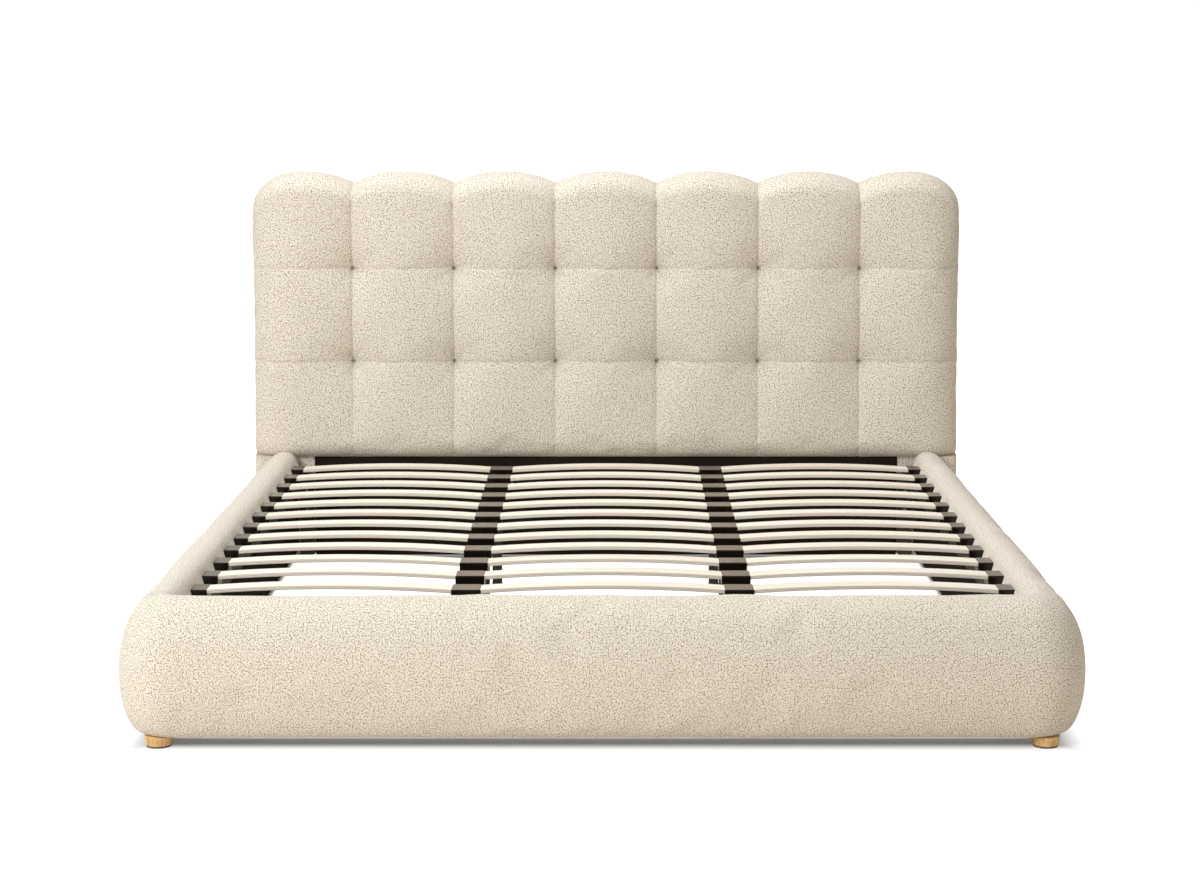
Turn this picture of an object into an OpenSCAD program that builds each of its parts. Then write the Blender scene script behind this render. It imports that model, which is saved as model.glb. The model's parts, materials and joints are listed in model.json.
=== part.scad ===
// Upholstered king-size bed with a channelled, tufted headboard, padded rails and sprung slats.
// X is the width, Y the length with the headboard at +Y, and Z is up from the floor.

/* [Mattress] */
// Width of the mattress
mattress_w = 1930; // [1500:10:2320]
// Length of the mattress
mattress_l = 2030; // [1690:10:2440]
// Play beside the mattress on each side
side_play = 5; // [3:1:15]
// Play beyond the mattress at each end
end_play = 10; // [5:1:20]

/* [Rails] */
// Thickness of a padded rail at its widest
rail_t = 132; // [124:1:160]
// Height of the crest of the rails
rail_top = 343; // [285:1:420]
// Height of the underside of the rails
rail_bottom = 25; // [20:1:30]
// Height at which the rails are widest
waist_z = 165; // [140:1:190]
// Radius of the roll over the inner edge
roll_r = 35; // [28:1:42]
// Width of the flat underside of a rail
heel_w = 85; // [84:1:100]
// Thickness of the wooden core of a rail
core_t = 82; // [76:1:83]
// Thickness of the boards in a rail
board_t = 18; // [12:1:22]
// Height of the battens in a rail
batten_h = 40; // [30:1:50]
// Foam over the top of the core
crest_foam = 42; // [36:1:50]

/* [Covering] */
// Thickness of the boucle cover
cover_t = 3; // [2:0.5:4]
// Thickness of the back lining
lining_t = 2; // [1:0.5:3]

/* [Headboard] */
// Height of the headboard
head_h = 1217; // [1010:1:1470]
// How far the headboard stands out beyond each rail
head_lap = 8; // [2:1:30]
// Thickness of the headboard at the crown of a channel
head_t = 140; // [125:1:160]
// Number of upright channels
channels = 7; // [5:1:9]
// Depth of the valleys between the channels
puff = 36; // [24:1:42]
// Drop of the rounded top corners
corner_drop = 110; // [80:1:130]
// Depth of the rounded side edges
side_drop = 80; // [60:1:90]
// Foam round the edge of the face board
edge_foam = 12; // [8:1:16]
// Thickness of the face board
face_t = 12; // [9:1:18]
// Depth of the posts and rails of the headboard frame
frame_t = 56; // [40:1:60]
// Width of the headboard posts and stiles
post_w = 60; // [45:1:80]
// Depth of the firm face below the pad, measured from the face board
lower_t = 25; // [18:1:30]
// Depth of the pad's lower edge below the crest of the rails
pad_lap = 19; // [10:1:24]
// Clearance of the headboard above the floor
head_bottom = 8; // [6:1:12]
// Distance of the dark panel's edges from the sides of the well
panel_inset = 53; // [45:1:110]
// Height of the lower row of tufts
tuft_low_z = 626; // [560:1:680]
// Height of the upper row of tufts
tuft_high_z = 918; // [840:1:960]
// Diameter of a tufting button
button_d = 20; // [16:1:28]
// Thickness of a tufting button
button_t = 6; // [4:1:8]
// Distance of a button's face from the face board
button_depth = 16; // [12:1:24]

/* [Slats] */
// Number of slats in a column
slat_rows = 12; // [9:1:14]
// Width of a slat
slat_w = 59; // [50:1:76]
// Thickness of a slat
slat_t = 9; // [7:0.5:11]
// Rise of the middle of a slat above its ends
slat_crown = 12; // [8:1:20]
// Depth of the slat ends' top below the crest of the rails
deck_drop = 35; // [26:1:42]
// Length of slat inside a holder
slat_grip = 25; // [18:1:28]
// Distance of the first slat from the headboard
head_gap = 105; // [80:1:140]
// Distance of the last slat from the foot rail
foot_gap = 196; // [110:1:200]

/* [Slat holders] */
// Width of a side holder
side_holder_w = 39; // [34:1:48]
// Width of a double holder
double_holder_w = 70; // [62:1:84]
// Height of a holder
holder_h = 30; // [26:1:36]
// Plastic on each side of a slat
holder_wall = 3.5; // [2:0.5:5]
// Clearance round a slat end
slat_fit = 0.3; // [0.2:0.1:0.6]
// Diameter of the peg under a holder
peg_d = 8; // [6:1:10]
// Length of that peg
peg_l = 12; // [8:1:16]

/* [Base] */
// Width of the ledge that carries the side holders
ledge_w = 35; // [28:1:38]
// Height of that ledge
ledge_h = 30; // [24:1:36]
// Width of a centre rail
centre_w = 40; // [30:1:50]
// Height of a centre rail
centre_h = 30; // [25:1:40]
// Wall of the steel tubes
tube_wall = 2; // [1.5:0.5:3]
// Side of a centre leg
leg_w = 28; // [24:1:34]
// Number of legs under a centre rail
legs_per_rail = 3; // [2:1:4]
// Distance of the last legs from the headboard's crown
leg_head_gap = 395; // [300:5:450]
// Distance of the first legs from the foot rail
leg_foot_gap = 275; // [200:5:330]
// Thickness of plates and brackets
plate_t = 3; // [2:0.5:4]

/* [Levelling feet] */
// Diameter of the pad of a levelling foot
leveller_d = 32; // [26:1:40]
// Height of that pad
leveller_h = 10; // [8:1:14]
// Diameter of the threaded stud
stud_d = 8; // [6:1:10]
// Length of that stud
stud_l = 45; // [38:1:60]
// Radial clearance of the stud
stud_fit = 0.05; // [0.02:0.01:0.1]

/* [Wooden feet] */
// Diameter of a wooden foot
foot_d = 66; // [50:1:70]
// Thickness of its felt pad
felt_t = 3; // [2:0.5:4]
// Distance of a foot's centre from the well's side
foot_out = 36; // [35:1:44]
// Distance of a foot's centre from the well's foot end
foot_ahead = 60; // [50:1:64]

/* [Hidden] */

$fn = 48;
arc_steps = 10;
overcut = 1;

// Overall layout
half_w = mattress_w / 2 + side_play;
well_l = mattress_l + 2 * end_play;
total_l = rail_t + well_l + head_t;
front_y = -total_l / 2;
foot_y = front_y + rail_t;
crown_y = foot_y + well_l;
back_y = crown_y + head_t;
head_half_w = half_w + rail_t + head_lap;

// Headboard layers, from the back to the front
frame_back_y = back_y - lining_t;
face_back_y = frame_back_y - frame_t;
face_y = face_back_y - face_t;
lower_y = face_y - lower_t;

// Headboard channels
pad_bottom = rail_top - pad_lap;
panel_half_w = half_w - panel_inset;
channel_w = 2 * head_half_w / channels;
puff_r = (pow(channel_w / 2, 2) + pow(puff, 2)) / (2 * puff);
end_channel_x = head_half_w - channel_w / 2;
board_inset = cover_t + edge_foam;

// Headboard frame
frame_half_w = head_half_w - board_inset;
post_gap = 15;
post_top = head_h - corner_drop - edge_foam - post_gap;
top_rail_h = 70;
middle_rail_z = (tuft_low_z + tuft_high_z) / 2;
middle_rail_h = 70;
bottom_rail_h = 140;
stile_x = frame_half_w / 3;

// Tufting
button_y = face_y - button_depth;
button_play = 1;
tie_d = 3;
tie_hole_d = 5;
washer_d = 25;
washer_t = 2;

// Glides under the headboard
glide_d = 30;
glide_stem_l = 20;
glide_hole_l = 24;

// Rail core
core_bottom = rail_bottom + cover_t;
core_top = rail_top - crest_foam - cover_t;
core_in = cover_t;
foot_back = foot_y - core_in - board_t;
block_l = 60;
blocks_per_rail = 4;
rail_l = lower_y - foot_y;
rail_gap = 1;

// Slatted base
deck_z = rail_top - deck_drop;
holder_lip = 3;
holder_top = deck_z + holder_lip;
ledge_top = holder_top - holder_h;
holder_l = slat_w + 2 * holder_wall;
slat_pitch = (well_l - head_gap - foot_gap) / (slat_rows - 1);
centre_x = (half_w - side_holder_w + double_holder_w / 2) / 3;
slat_free = 2 * centre_x - double_holder_w;
slat_l = slat_free + 2 * slat_grip;
slat_r = (pow(slat_l / 2, 2) + pow(slat_crown, 2)) / (2 * slat_crown);
side_slat_x = half_w - side_holder_w - slat_free / 2;
centre_bottom = ledge_top - centre_h;
end_gap = 1;

// Centre legs
leg_top = centre_bottom - plate_t;
leg_plate_l = 74;
leg_plate_w = 36;
plug_h = 20;
leg_screw_y = 26;
leg_pitch = (well_l - leg_head_gap - leg_foot_gap) / (legs_per_rail - 1);
bore_d = stud_d + 2 * stud_fit;

// Screws and bolts
screw_d = 5;
screw_hole_d = 5.4;
screw_head_d = 9;
screw_head_t = 2.5;
bolt_d = 8;
bolt_hole_d = 8.4;
bolt_head_d = 14;
bolt_head_t = 5;
hanger_w = 66;
hanger_drop = 24;
hanger_seat = 32;
hanger_fit = 0.3;
hanger_screw_x = 24;
hanger_screw_z = centre_bottom - plate_t - hanger_drop / 2;
hanger_screw_cover = 14;
screw_back = 2;
screw_bite = 20;
foot_screw_l = plate_t + core_in + board_t - screw_back;
head_screw_l = plate_t + lower_t + face_t + screw_bite;

// The bottom rail of the headboard takes the screws of the hangers and the bolts of the brackets
bottom_rail_z = hanger_screw_z + hanger_screw_cover - bottom_rail_h;
bracket_w = 50;
bracket_t = 4;
bracket_h = 120;
bracket_margin = 10;
bracket_z = bottom_rail_z + bracket_margin;
bracket_bolt_in = 27;
bolt_edge = 30;
bolt_rows = [bracket_z + bolt_edge, bracket_z + bracket_h - bolt_edge];
side_bolt_bite = 12;
head_bolt_bite = 30;
side_bolt_l = board_t + core_in + side_bolt_bite;
head_bolt_l = lower_t + face_t + head_bolt_bite;

// Wooden feet
foot_bolt_l = 60;
foot_bolt_cover = 6;
foot_bolt_z = felt_t + foot_bolt_cover;
foot_taper = 3;
foot_chamfer = 2;
felt_margin = 2;
felt_d = foot_d - 2 * (foot_taper + felt_margin);

// A stretch of an ellipse as points, its first point left out
function arc_points(cx, cy, rx, ry, from, to) =
    [for (k = [1:arc_steps]) let (a = from + (to - from) * k / arc_steps)
        [cx + rx * cos(a), cy + ry * sin(a)]];

// Section of a rail: distance from the inner face, height
function rail_outline(inset) = concat(
    [[inset, rail_bottom + inset], [heel_w, rail_bottom + inset]],
    arc_points(heel_w, waist_z, rail_t - heel_w - inset, waist_z - rail_bottom - inset, -90, 0),
    arc_points(roll_r, waist_z, rail_t - roll_r - inset, rail_top - waist_z - inset, 0, 90),
    arc_points(roll_r, rail_top - roll_r, roll_r - inset, roll_r - inset, 90, 180));

// Line over the channels, from the left edge to the right: across, height relative to a crown
function channel_line(inset, drop) =
    let (r = puff_r - inset, half_a = asin(channel_w / 2 / r), rx = channel_w / 2 - inset)
    concat(
        [[-head_half_w + inset, -drop]],
        arc_points(-end_channel_x, -drop, rx, drop - inset, 180, 90),
        arc_points(-end_channel_x, -puff_r, r, r, 90, 90 - half_a),
        [for (c = [1:channels - 2])
            each arc_points(channel_x(c), -puff_r, r, r, 90 + half_a, 90 - half_a)],
        arc_points(end_channel_x, -puff_r, r, r, 90 + half_a, 90),
        arc_points(end_channel_x, -drop, rx, drop - inset, 90, 0));

function channel_x(c) = -end_channel_x + c * channel_w;
function seam_x(c) = -head_half_w + c * channel_w;
function slat_y(row) = foot_y + foot_gap + row * slat_pitch;
function leg_y(n) = foot_y + leg_foot_gap + n * leg_pitch;

module on_side(side) {
    if (side < 0)
        mirror([1, 0, 0]) children();
    else
        children();
}

module both_sides() {
    for (side = [-1, 1])
        on_side(side) children();
}

module box(x0, x1, y0, y1, z0, z1) {
    translate([x0, y0, z0])
        cube([x1 - x0, y1 - y0, z1 - z0]);
}

// A cylinder along Y
module rod_y(x, y0, y1, z, d) {
    translate([x, y1, z])
        rotate([90, 0, 0])
            cylinder(d = d, h = y1 - y0);
}

// A cylinder along X
module rod_x(x0, x1, y, z, d) {
    translate([x0, y, z])
        rotate([0, 90, 0])
            cylinder(d = d, h = x1 - x0);
}

// ---- Headboard ----

module head_silhouette(inset, bottom) {
    top = [for (p = channel_line(inset, corner_drop)) [p[0], head_h + p[1]]];
    edge = head_half_w - inset;
    polygon(concat(top, [[edge, bottom], [-edge, bottom]]));
}

module head_plan(inset, back) {
    front = [for (p = channel_line(inset, side_drop)) [p[0], crown_y - p[1]]];
    edge = head_half_w - inset;
    polygon(concat(front, [[edge, back], [-edge, back]]));
}

// The upholstered body of the headboard, its surface moved in by inset
module head_body(inset, bottom, back) {
    rail_zone = half_w - overcut - inset;
    difference() {
        intersection() {
            translate([0, back, 0])
                rotate([90, 0, 0])
                    linear_extrude(back - crown_y + overcut)
                        head_silhouette(inset, bottom);
            translate([0, 0, bottom - overcut])
                linear_extrude(head_h)
                    head_plan(inset, back + overcut);
        }
        box(-head_half_w - overcut, head_half_w + overcut, crown_y - overcut, lower_y + inset,
            bottom - overcut, pad_bottom + inset);
        both_sides()
            box(rail_zone, head_half_w + overcut, crown_y - overcut, lower_y + inset,
                bottom - overcut, rail_top + rail_gap + inset);
    }
}

module head_slab(inset, bottom, y0, y1) {
    translate([0, y1, 0])
        rotate([90, 0, 0])
            linear_extrude(y1 - y0)
                head_silhouette(inset, bottom);
}

module panel_zone(y0) {
    box(-panel_half_w, panel_half_w, y0, face_y, head_bottom - overcut, pad_bottom);
}

module at_tufts() {
    for (c = [1:channels - 1], z = [tuft_low_z, tuft_high_z])
        translate([seam_x(c), 0, z]) children();
}

module tuft_wells() {
    at_tufts()
        rod_y(0, crown_y - overcut, face_y, 0, button_d + 2 * button_play);
}

module head_post(side) {
    color("burlywood")
        on_side(side)
            difference() {
                box(frame_half_w - post_w, frame_half_w, face_back_y, frame_back_y, head_bottom, post_top);
                glide_hole();
            }
}

module glide_hole() {
    translate([frame_half_w - post_w / 2, face_back_y + frame_t / 2, head_bottom - overcut])
        cylinder(d = screw_hole_d, h = glide_hole_l);
}

module head_cross_rail(z0, z1) {
    color("burlywood")
        difference() {
            box(post_w - frame_half_w, frame_half_w - post_w, face_back_y, frame_back_y, z0, z1);
            head_bolt_holes();
            hanger_screw_holes();
        }
}

module head_stiles() {
    spans = [[bottom_rail_z + bottom_rail_h, middle_rail_z - middle_rail_h / 2],
        [middle_rail_z + middle_rail_h / 2, post_top - top_rail_h]];
    color("burlywood")
        both_sides()
            for (span = spans)
                box(stile_x - post_w / 2, stile_x + post_w / 2, face_back_y, frame_back_y, span[0], span[1]);
}

module head_board() {
    color("tan")
        difference() {
            head_slab(board_inset, head_bottom, face_y, face_back_y);
            at_tufts()
                rod_y(0, face_y - overcut, face_back_y + overcut, 0, tie_hole_d);
            head_bolt_holes();
            hanger_screw_holes();
        }
}

module head_foam() {
    color("khaki")
        for (c = [0:channels - 1])
            difference() {
                intersection() {
                    head_body(cover_t, head_bottom, frame_back_y);
                    box(seam_x(c), seam_x(c + 1), crown_y, back_y, head_bottom, head_h);
                }
                head_slab(board_inset, head_bottom - overcut, face_y, back_y);
                panel_zone(crown_y);
                tuft_wells();
                head_bolt_holes();
            }
}

module head_cover() {
    color("ivory")
        difference() {
            head_body(0, head_bottom, back_y);
            head_body(cover_t, head_bottom - overcut, back_y + overcut);
            panel_zone(crown_y);
            tuft_wells();
            head_bolt_holes();
        }
}

module head_back_lining() {
    color("dimgray")
        head_slab(cover_t, head_bottom, frame_back_y, back_y);
}

module head_lower_panel() {
    color("#241c18")
        difference() {
            box(-panel_half_w, panel_half_w, lower_y, face_y, head_bottom, pad_bottom);
            hanger_screw_holes();
        }
}

module tuft_buttons() {
    color("ivory")
        at_tufts()
            rod_y(0, button_y, button_y + button_t, 0, button_d);
}

module tuft_ties() {
    color("gray")
        at_tufts() {
            rod_y(0, button_y + button_t, face_back_y + washer_t, 0, tie_d);
            rod_y(0, face_back_y, face_back_y + washer_t, 0, washer_d);
        }
}

module head_glides() {
    color("#2b2320")
        both_sides()
            translate([frame_half_w - post_w / 2, face_back_y + frame_t / 2, 0]) {
                cylinder(d = glide_d, h = head_bottom);
                cylinder(d = screw_d, h = head_bottom + glide_stem_l);
            }
}

// ---- Rails ----

// Sections of a rail's parts, as distance from the inner face and height

module foam_section() {
    difference() {
        polygon(rail_outline(cover_t));
        translate([0, core_bottom - overcut])
            square([core_t, core_top - core_bottom + overcut]);
    }
}

module cover_section() {
    difference() {
        polygon(rail_outline(0));
        polygon(rail_outline(cover_t));
        translate([-overcut, core_bottom])
            square([core_in + overcut, ledge_top - core_bottom]);
    }
}

module lining_section() {
    translate([0, core_bottom])
        square([core_in, ledge_top - core_bottom]);
}

module board_section(out) {
    translate([out, core_bottom])
        square([board_t, core_top - core_bottom]);
}

// A section swept along the right-hand side rail
module side_sweep() {
    translate([half_w, lower_y, 0])
        rotate([90, 0, 0])
            linear_extrude(rail_l)
                children();
}

// A section swept along the foot rail, between the corners
module foot_sweep() {
    translate([half_w, foot_y, 0])
        rotate([90, 0, -90])
            linear_extrude(2 * half_w)
                children();
}

// A section turned round both corners of the foot rail
module corner_sweep() {
    both_sides()
        translate([half_w, foot_y, 0])
            rotate([0, 0, -90])
                rotate_extrude(angle = 90, $fn = 96)
                    children();
}

module rail_inner_board(side) {
    color("tan")
        on_side(side)
            difference() {
                side_sweep() board_section(core_in);
                side_bolt_holes();
            }
}

module rail_outer_board(side) {
    color("tan")
        on_side(side)
            side_sweep() board_section(core_t - board_t);
}

module rail_battens(side) {
    inner = half_w + core_in + board_t;
    outer = half_w + core_t - board_t;
    color("burlywood")
        on_side(side) {
            for (z = [core_bottom, core_top - batten_h])
                box(inner, outer, foot_y, lower_y, z, z + batten_h);
            for (k = [0:blocks_per_rail - 1])
                translate([0, k * (rail_l - block_l) / (blocks_per_rail - 1), 0])
                    difference() {
                        box(inner, outer, foot_y, foot_y + block_l,
                            core_bottom + batten_h, core_top - batten_h);
                        translate([0, -k * (rail_l - block_l) / (blocks_per_rail - 1), 0])
                            side_bolt_holes();
                    }
        }
}

module rail_foam(side) {
    color("khaki")
        on_side(side)
            side_sweep() foam_section();
}

module rail_cover(side) {
    color("ivory")
        on_side(side)
            side_sweep() cover_section();
}

module rail_lining(side) {
    color("#241c18")
        on_side(side)
            difference() {
                side_sweep() lining_section();
                side_bolt_holes();
            }
}

module slat_ledge(side) {
    color("#4a3a30")
        on_side(side)
            difference() {
                box(half_w - ledge_w, half_w, foot_y + end_gap, lower_y - end_gap,
                    ledge_top - ledge_h, ledge_top);
                for (row = [0:slat_rows - 1])
                    peg_hole(half_w - ledge_w / 2, slat_y(row));
            }
}

module foot_inner_board() {
    color("tan")
        difference() {
            foot_sweep() board_section(core_in);
            foot_bolt_holes();
            hanger_screw_holes();
        }
}

module foot_outer_board() {
    color("tan")
        foot_sweep() board_section(core_t - board_t);
}

module foot_battens() {
    outer = foot_y - core_t + board_t;
    pitch = (2 * half_w - block_l) / (blocks_per_rail - 1);
    color("burlywood") {
        for (z = [core_bottom, core_top - batten_h])
            box(-half_w, half_w, outer, foot_back, z, z + batten_h);
        difference() {
            for (k = [0:blocks_per_rail - 1])
                box(-half_w + k * pitch, -half_w + k * pitch + block_l, outer, foot_back,
                    core_bottom + batten_h, core_top - batten_h);
            foot_bolt_holes();
        }
    }
}

module foot_corner_blocks() {
    color("burlywood")
        difference() {
            corner_sweep()
                translate([core_in, core_bottom])
                    square([core_t - core_in, core_top - core_bottom]);
            foot_bolt_space();
        }
}

module foot_foam() {
    color("khaki") {
        foot_sweep() foam_section();
        corner_sweep() foam_section();
    }
}

module foot_cover() {
    color("ivory")
        difference() {
            union() {
                foot_sweep() cover_section();
                corner_sweep() cover_section();
            }
            foot_bolt_space();
        }
}

module foot_lining() {
    color("#241c18")
        difference() {
            union() {
                foot_sweep() lining_section();
                corner_sweep() lining_section();
            }
            foot_bolt_holes();
            hanger_screw_holes();
        }
}

// ---- Joinery ----

// Corner brackets sit in the four inside corners, below the ledges
module corner_brackets() {
    ends = [[foot_y, 1], [lower_y, -1]];
    color("dimgray")
        both_sides()
            difference() {
                for (e = ends) {
                    y0 = min(e[0], e[0] + e[1] * bracket_w);
                    t0 = min(e[0], e[0] + e[1] * bracket_t);
                    box(half_w - bracket_t, half_w, y0, y0 + bracket_w, bracket_z, bracket_z + bracket_h);
                    box(half_w - bracket_w, half_w, t0, t0 + bracket_t, bracket_z, bracket_z + bracket_h);
                }
                side_bolt_holes();
                foot_bolt_holes();
                head_bolt_holes();
            }
}

// Where the side bolts run, along X at both ends of a rail
module side_bolts(d, start, end) {
    for (y = [foot_y + bracket_bolt_in, lower_y - bracket_bolt_in], z = bolt_rows)
        rod_x(half_w + start, half_w + end, y, z, d);
}

module side_bolt_holes() {
    side_bolts(bolt_hole_d, -bracket_t - overcut, side_bolt_l);
}

module foot_bolts_at(d, start, end) {
    for (side = [-1, 1], z = bolt_rows)
        rod_y(side * (half_w - bracket_bolt_in), foot_y - end, foot_y - start, z, d);
}

module foot_bolt_holes() {
    foot_bolts_at(bolt_hole_d, -bracket_t - overcut, side_bolt_l);
}

module head_bolts_at(d, start, end) {
    for (side = [-1, 1], z = bolt_rows)
        rod_y(side * (half_w - bracket_bolt_in), lower_y + start, lower_y + end, z, d);
}

module head_bolt_holes() {
    head_bolts_at(bolt_hole_d, -bracket_t - overcut, head_bolt_l);
}

module bracket_bolts() {
    heads = -bracket_t - bolt_head_t;
    color("silver") {
        both_sides() {
            side_bolts(bolt_d, -bracket_t, side_bolt_l);
            side_bolts(bolt_head_d, heads, -bracket_t);
        }
        foot_bolts_at(bolt_d, -bracket_t, side_bolt_l);
        foot_bolts_at(bolt_head_d, heads, -bracket_t);
        head_bolts_at(bolt_d, -bracket_t, head_bolt_l);
        head_bolts_at(bolt_head_d, heads, -bracket_t);
    }
}

// ---- Slatted base ----

// A bowed strip about its own middle, with its top at the height of its ends
module bowed_strip(length, width, grow) {
    sweep = 2 * asin(length / 2 / slat_r);
    translate([0, width / 2, slat_crown - slat_r])
        rotate([90, 0, 0])
            rotate([0, 0, 90 - sweep / 2])
                rotate_extrude(angle = sweep, $fn = 720)
                    translate([slat_r - slat_t - grow, 0])
                        square([slat_t + 2 * grow, width]);
}

module slats(x) {
    color("cornsilk")
        for (row = [0:slat_rows - 1])
            translate([x, slat_y(row), deck_z])
                bowed_strip(slat_l, slat_w, 0);
}

module slat_pockets(x) {
    translate([x, 0, deck_z])
        bowed_strip(slat_l + 2 * slat_fit, slat_w + 2 * slat_fit, slat_fit);
}

module holder(x0, x1, peg_x) {
    translate([x0, -holder_l / 2, ledge_top])
        cube([x1 - x0, holder_l, holder_h]);
    translate([peg_x, 0, ledge_top - peg_l])
        cylinder(d = peg_d, h = peg_l + overcut);
}

module peg_hole(x, y) {
    translate([x, y, ledge_top - peg_l - overcut])
        cylinder(d = peg_d + 2 * slat_fit, h = peg_l + 2 * overcut);
}

module side_holders(side) {
    color("#5b4c42")
        on_side(side)
            for (row = [0:slat_rows - 1])
                translate([0, slat_y(row), 0])
                    difference() {
                        holder(half_w - side_holder_w, half_w, half_w - ledge_w / 2);
                        slat_pockets(side_slat_x);
                    }
}

module double_holders(side) {
    color("#5b4c42")
        on_side(side)
            for (row = [0:slat_rows - 1])
                translate([0, slat_y(row), 0])
                    difference() {
                        holder(centre_x - double_holder_w / 2, centre_x + double_holder_w / 2, centre_x);
                        slat_pockets(side_slat_x);
                        slat_pockets(0);
                    }
}

module centre_rail(side) {
    y0 = foot_y + plate_t + end_gap;
    y1 = lower_y - plate_t - end_gap;
    color("#2b2320")
        on_side(side)
            difference() {
                box(centre_x - centre_w / 2, centre_x + centre_w / 2, y0, y1, centre_bottom, ledge_top);
                box(centre_x - centre_w / 2 + tube_wall, centre_x + centre_w / 2 - tube_wall,
                    y0 - overcut, y1 + overcut, centre_bottom + tube_wall, ledge_top - tube_wall);
                for (row = [0:slat_rows - 1])
                    peg_hole(centre_x, slat_y(row));
                leg_screw_holes();
            }
}

// Steel seats that carry the ends of the centre rails
module hanger_brackets() {
    cheek = centre_w / 2 + hanger_fit;
    seat_z = centre_bottom - plate_t;
    ends = [[foot_y, 1], [lower_y, -1]];
    color("dimgray")
        both_sides()
            difference() {
                for (e = ends) {
                    plate_y = min(e[0], e[0] + e[1] * plate_t);
                    seat_y = min(e[0], e[0] + e[1] * hanger_seat);
                    box(centre_x - hanger_w / 2, centre_x + hanger_w / 2, plate_y, plate_y + plate_t,
                        seat_z - hanger_drop, seat_z + plate_t);
                    box(centre_x - cheek - plate_t, centre_x + cheek + plate_t, seat_y,
                        seat_y + hanger_seat, seat_z, seat_z + plate_t);
                    for (c = [-cheek - plate_t, cheek])
                        box(centre_x + c, centre_x + c + plate_t, seat_y, seat_y + hanger_seat,
                            seat_z, seat_z + plate_t + centre_h / 2);
                }
                hanger_screw_holes();
            }
}

module hanger_screws(d, from_face, foot_end, head_end) {
    for (side = [-1, 1], c = [-hanger_screw_x, hanger_screw_x]) {
        x = side * (centre_x + c);
        rod_y(x, foot_y + plate_t - foot_end, foot_y + plate_t + from_face, hanger_screw_z, d);
        rod_y(x, lower_y - plate_t - from_face, lower_y - plate_t + head_end, hanger_screw_z, d);
    }
}

module hanger_screw_holes() {
    hanger_screws(screw_hole_d, overcut, foot_screw_l, head_screw_l);
}

module at_leg_screws() {
    for (n = [0:legs_per_rail - 1], c = [-1, 1])
        translate([centre_x, leg_y(n) + c * leg_screw_y, leg_top]) children();
}

module leg_screw_holes() {
    at_leg_screws()
        translate([0, 0, -overcut])
            cylinder(d = screw_hole_d, h = plate_t + tube_wall + 2 * overcut);
}

module centre_legs() {
    color("#2b2320")
        both_sides()
            difference() {
                for (n = [0:legs_per_rail - 1])
                    translate([centre_x, leg_y(n), 0])
                        leg();
                leg_screw_holes();
            }
}

module leg() {
    inner = leg_w / 2 - tube_wall;
    box(-leg_plate_w / 2, leg_plate_w / 2, -leg_plate_l / 2, leg_plate_l / 2, leg_top, centre_bottom);
    difference() {
        box(-leg_w / 2, leg_w / 2, -leg_w / 2, leg_w / 2, leveller_h, leg_top);
        box(-inner, inner, -inner, inner, leveller_h + plug_h, leg_top);
        translate([0, 0, leveller_h - overcut])
            cylinder(d = bore_d, h = plug_h + 2 * overcut);
    }
}

module base_screws() {
    color("silver") {
        hanger_screws(screw_d, 0, foot_screw_l, head_screw_l);
        hanger_screws(screw_head_d, screw_head_t, 0, 0);
        both_sides()
            at_leg_screws() {
                cylinder(d = screw_d, h = plate_t + tube_wall + overcut);
                translate([0, 0, -screw_head_t])
                    cylinder(d = screw_head_d, h = screw_head_t);
            }
    }
}

// Levelling feet 1 to 3 are under the left centre rail, 4 to 6 under the right, from the foot end
module leveller(side, n) {
    color("#1d1917")
        translate([side * centre_x, leg_y(n), 0]) {
            cylinder(d = leveller_d, h = leveller_h);
            cylinder(d = stud_d, h = stud_l);
        }
}

// ---- Wooden feet ----

module at_foot(side) {
    translate([side * (half_w + foot_out), foot_y - foot_ahead, 0]) children();
}

module foot_bolt_space() {
    for (side = [-1, 1])
        at_foot(side)
            translate([0, 0, foot_bolt_z - overcut])
                cylinder(d = bolt_hole_d, h = foot_bolt_l + 2 * overcut);
}

module wooden_foot(side) {
    r = foot_d / 2;
    color("#d9aa6b")
        difference() {
            at_foot(side)
                rotate_extrude()
                    polygon([[0, felt_t], [r - foot_taper - foot_chamfer, felt_t],
                        [r - foot_taper, felt_t + foot_chamfer], [r, rail_bottom], [0, rail_bottom]]);
            foot_bolt_space();
        }
}

module foot_bolts() {
    color("silver")
        for (side = [-1, 1])
            at_foot(side)
                translate([0, 0, foot_bolt_z])
                    cylinder(d = bolt_d, h = foot_bolt_l);
}

module felt_pads() {
    color("dimgray")
        for (side = [-1, 1])
            at_foot(side)
                cylinder(d = felt_d, h = felt_t);
}

head_post(-1);  // head_post_left
head_post(1);  // head_post_right
head_stiles();
head_cross_rail(post_top - top_rail_h, post_top);  // head_top_rail
head_cross_rail(middle_rail_z - middle_rail_h / 2, middle_rail_z + middle_rail_h / 2);  // head_middle_rail
head_cross_rail(bottom_rail_z, bottom_rail_z + bottom_rail_h);  // head_bottom_rail
head_board();
head_foam();
head_cover();
head_back_lining();
head_lower_panel();
tuft_buttons();
tuft_ties();
head_glides();
rail_inner_board(-1);  // rail_inner_board_left
rail_inner_board(1);  // rail_inner_board_right
rail_outer_board(-1);  // rail_outer_board_left
rail_outer_board(1);  // rail_outer_board_right
rail_battens(-1);  // rail_battens_left
rail_battens(1);  // rail_battens_right
rail_foam(-1);  // rail_foam_left
rail_foam(1);  // rail_foam_right
rail_cover(-1);  // rail_cover_left
rail_cover(1);  // rail_cover_right
rail_lining(-1);  // rail_lining_left
rail_lining(1);  // rail_lining_right
slat_ledge(-1);  // slat_ledge_left
slat_ledge(1);  // slat_ledge_right
foot_inner_board();
foot_outer_board();
foot_battens();
foot_corner_blocks();
foot_foam();
foot_cover();
foot_lining();
corner_brackets();
bracket_bolts();
slats(-side_slat_x);  // slats_left
slats(0);  // slats_middle
slats(side_slat_x);  // slats_right
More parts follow.
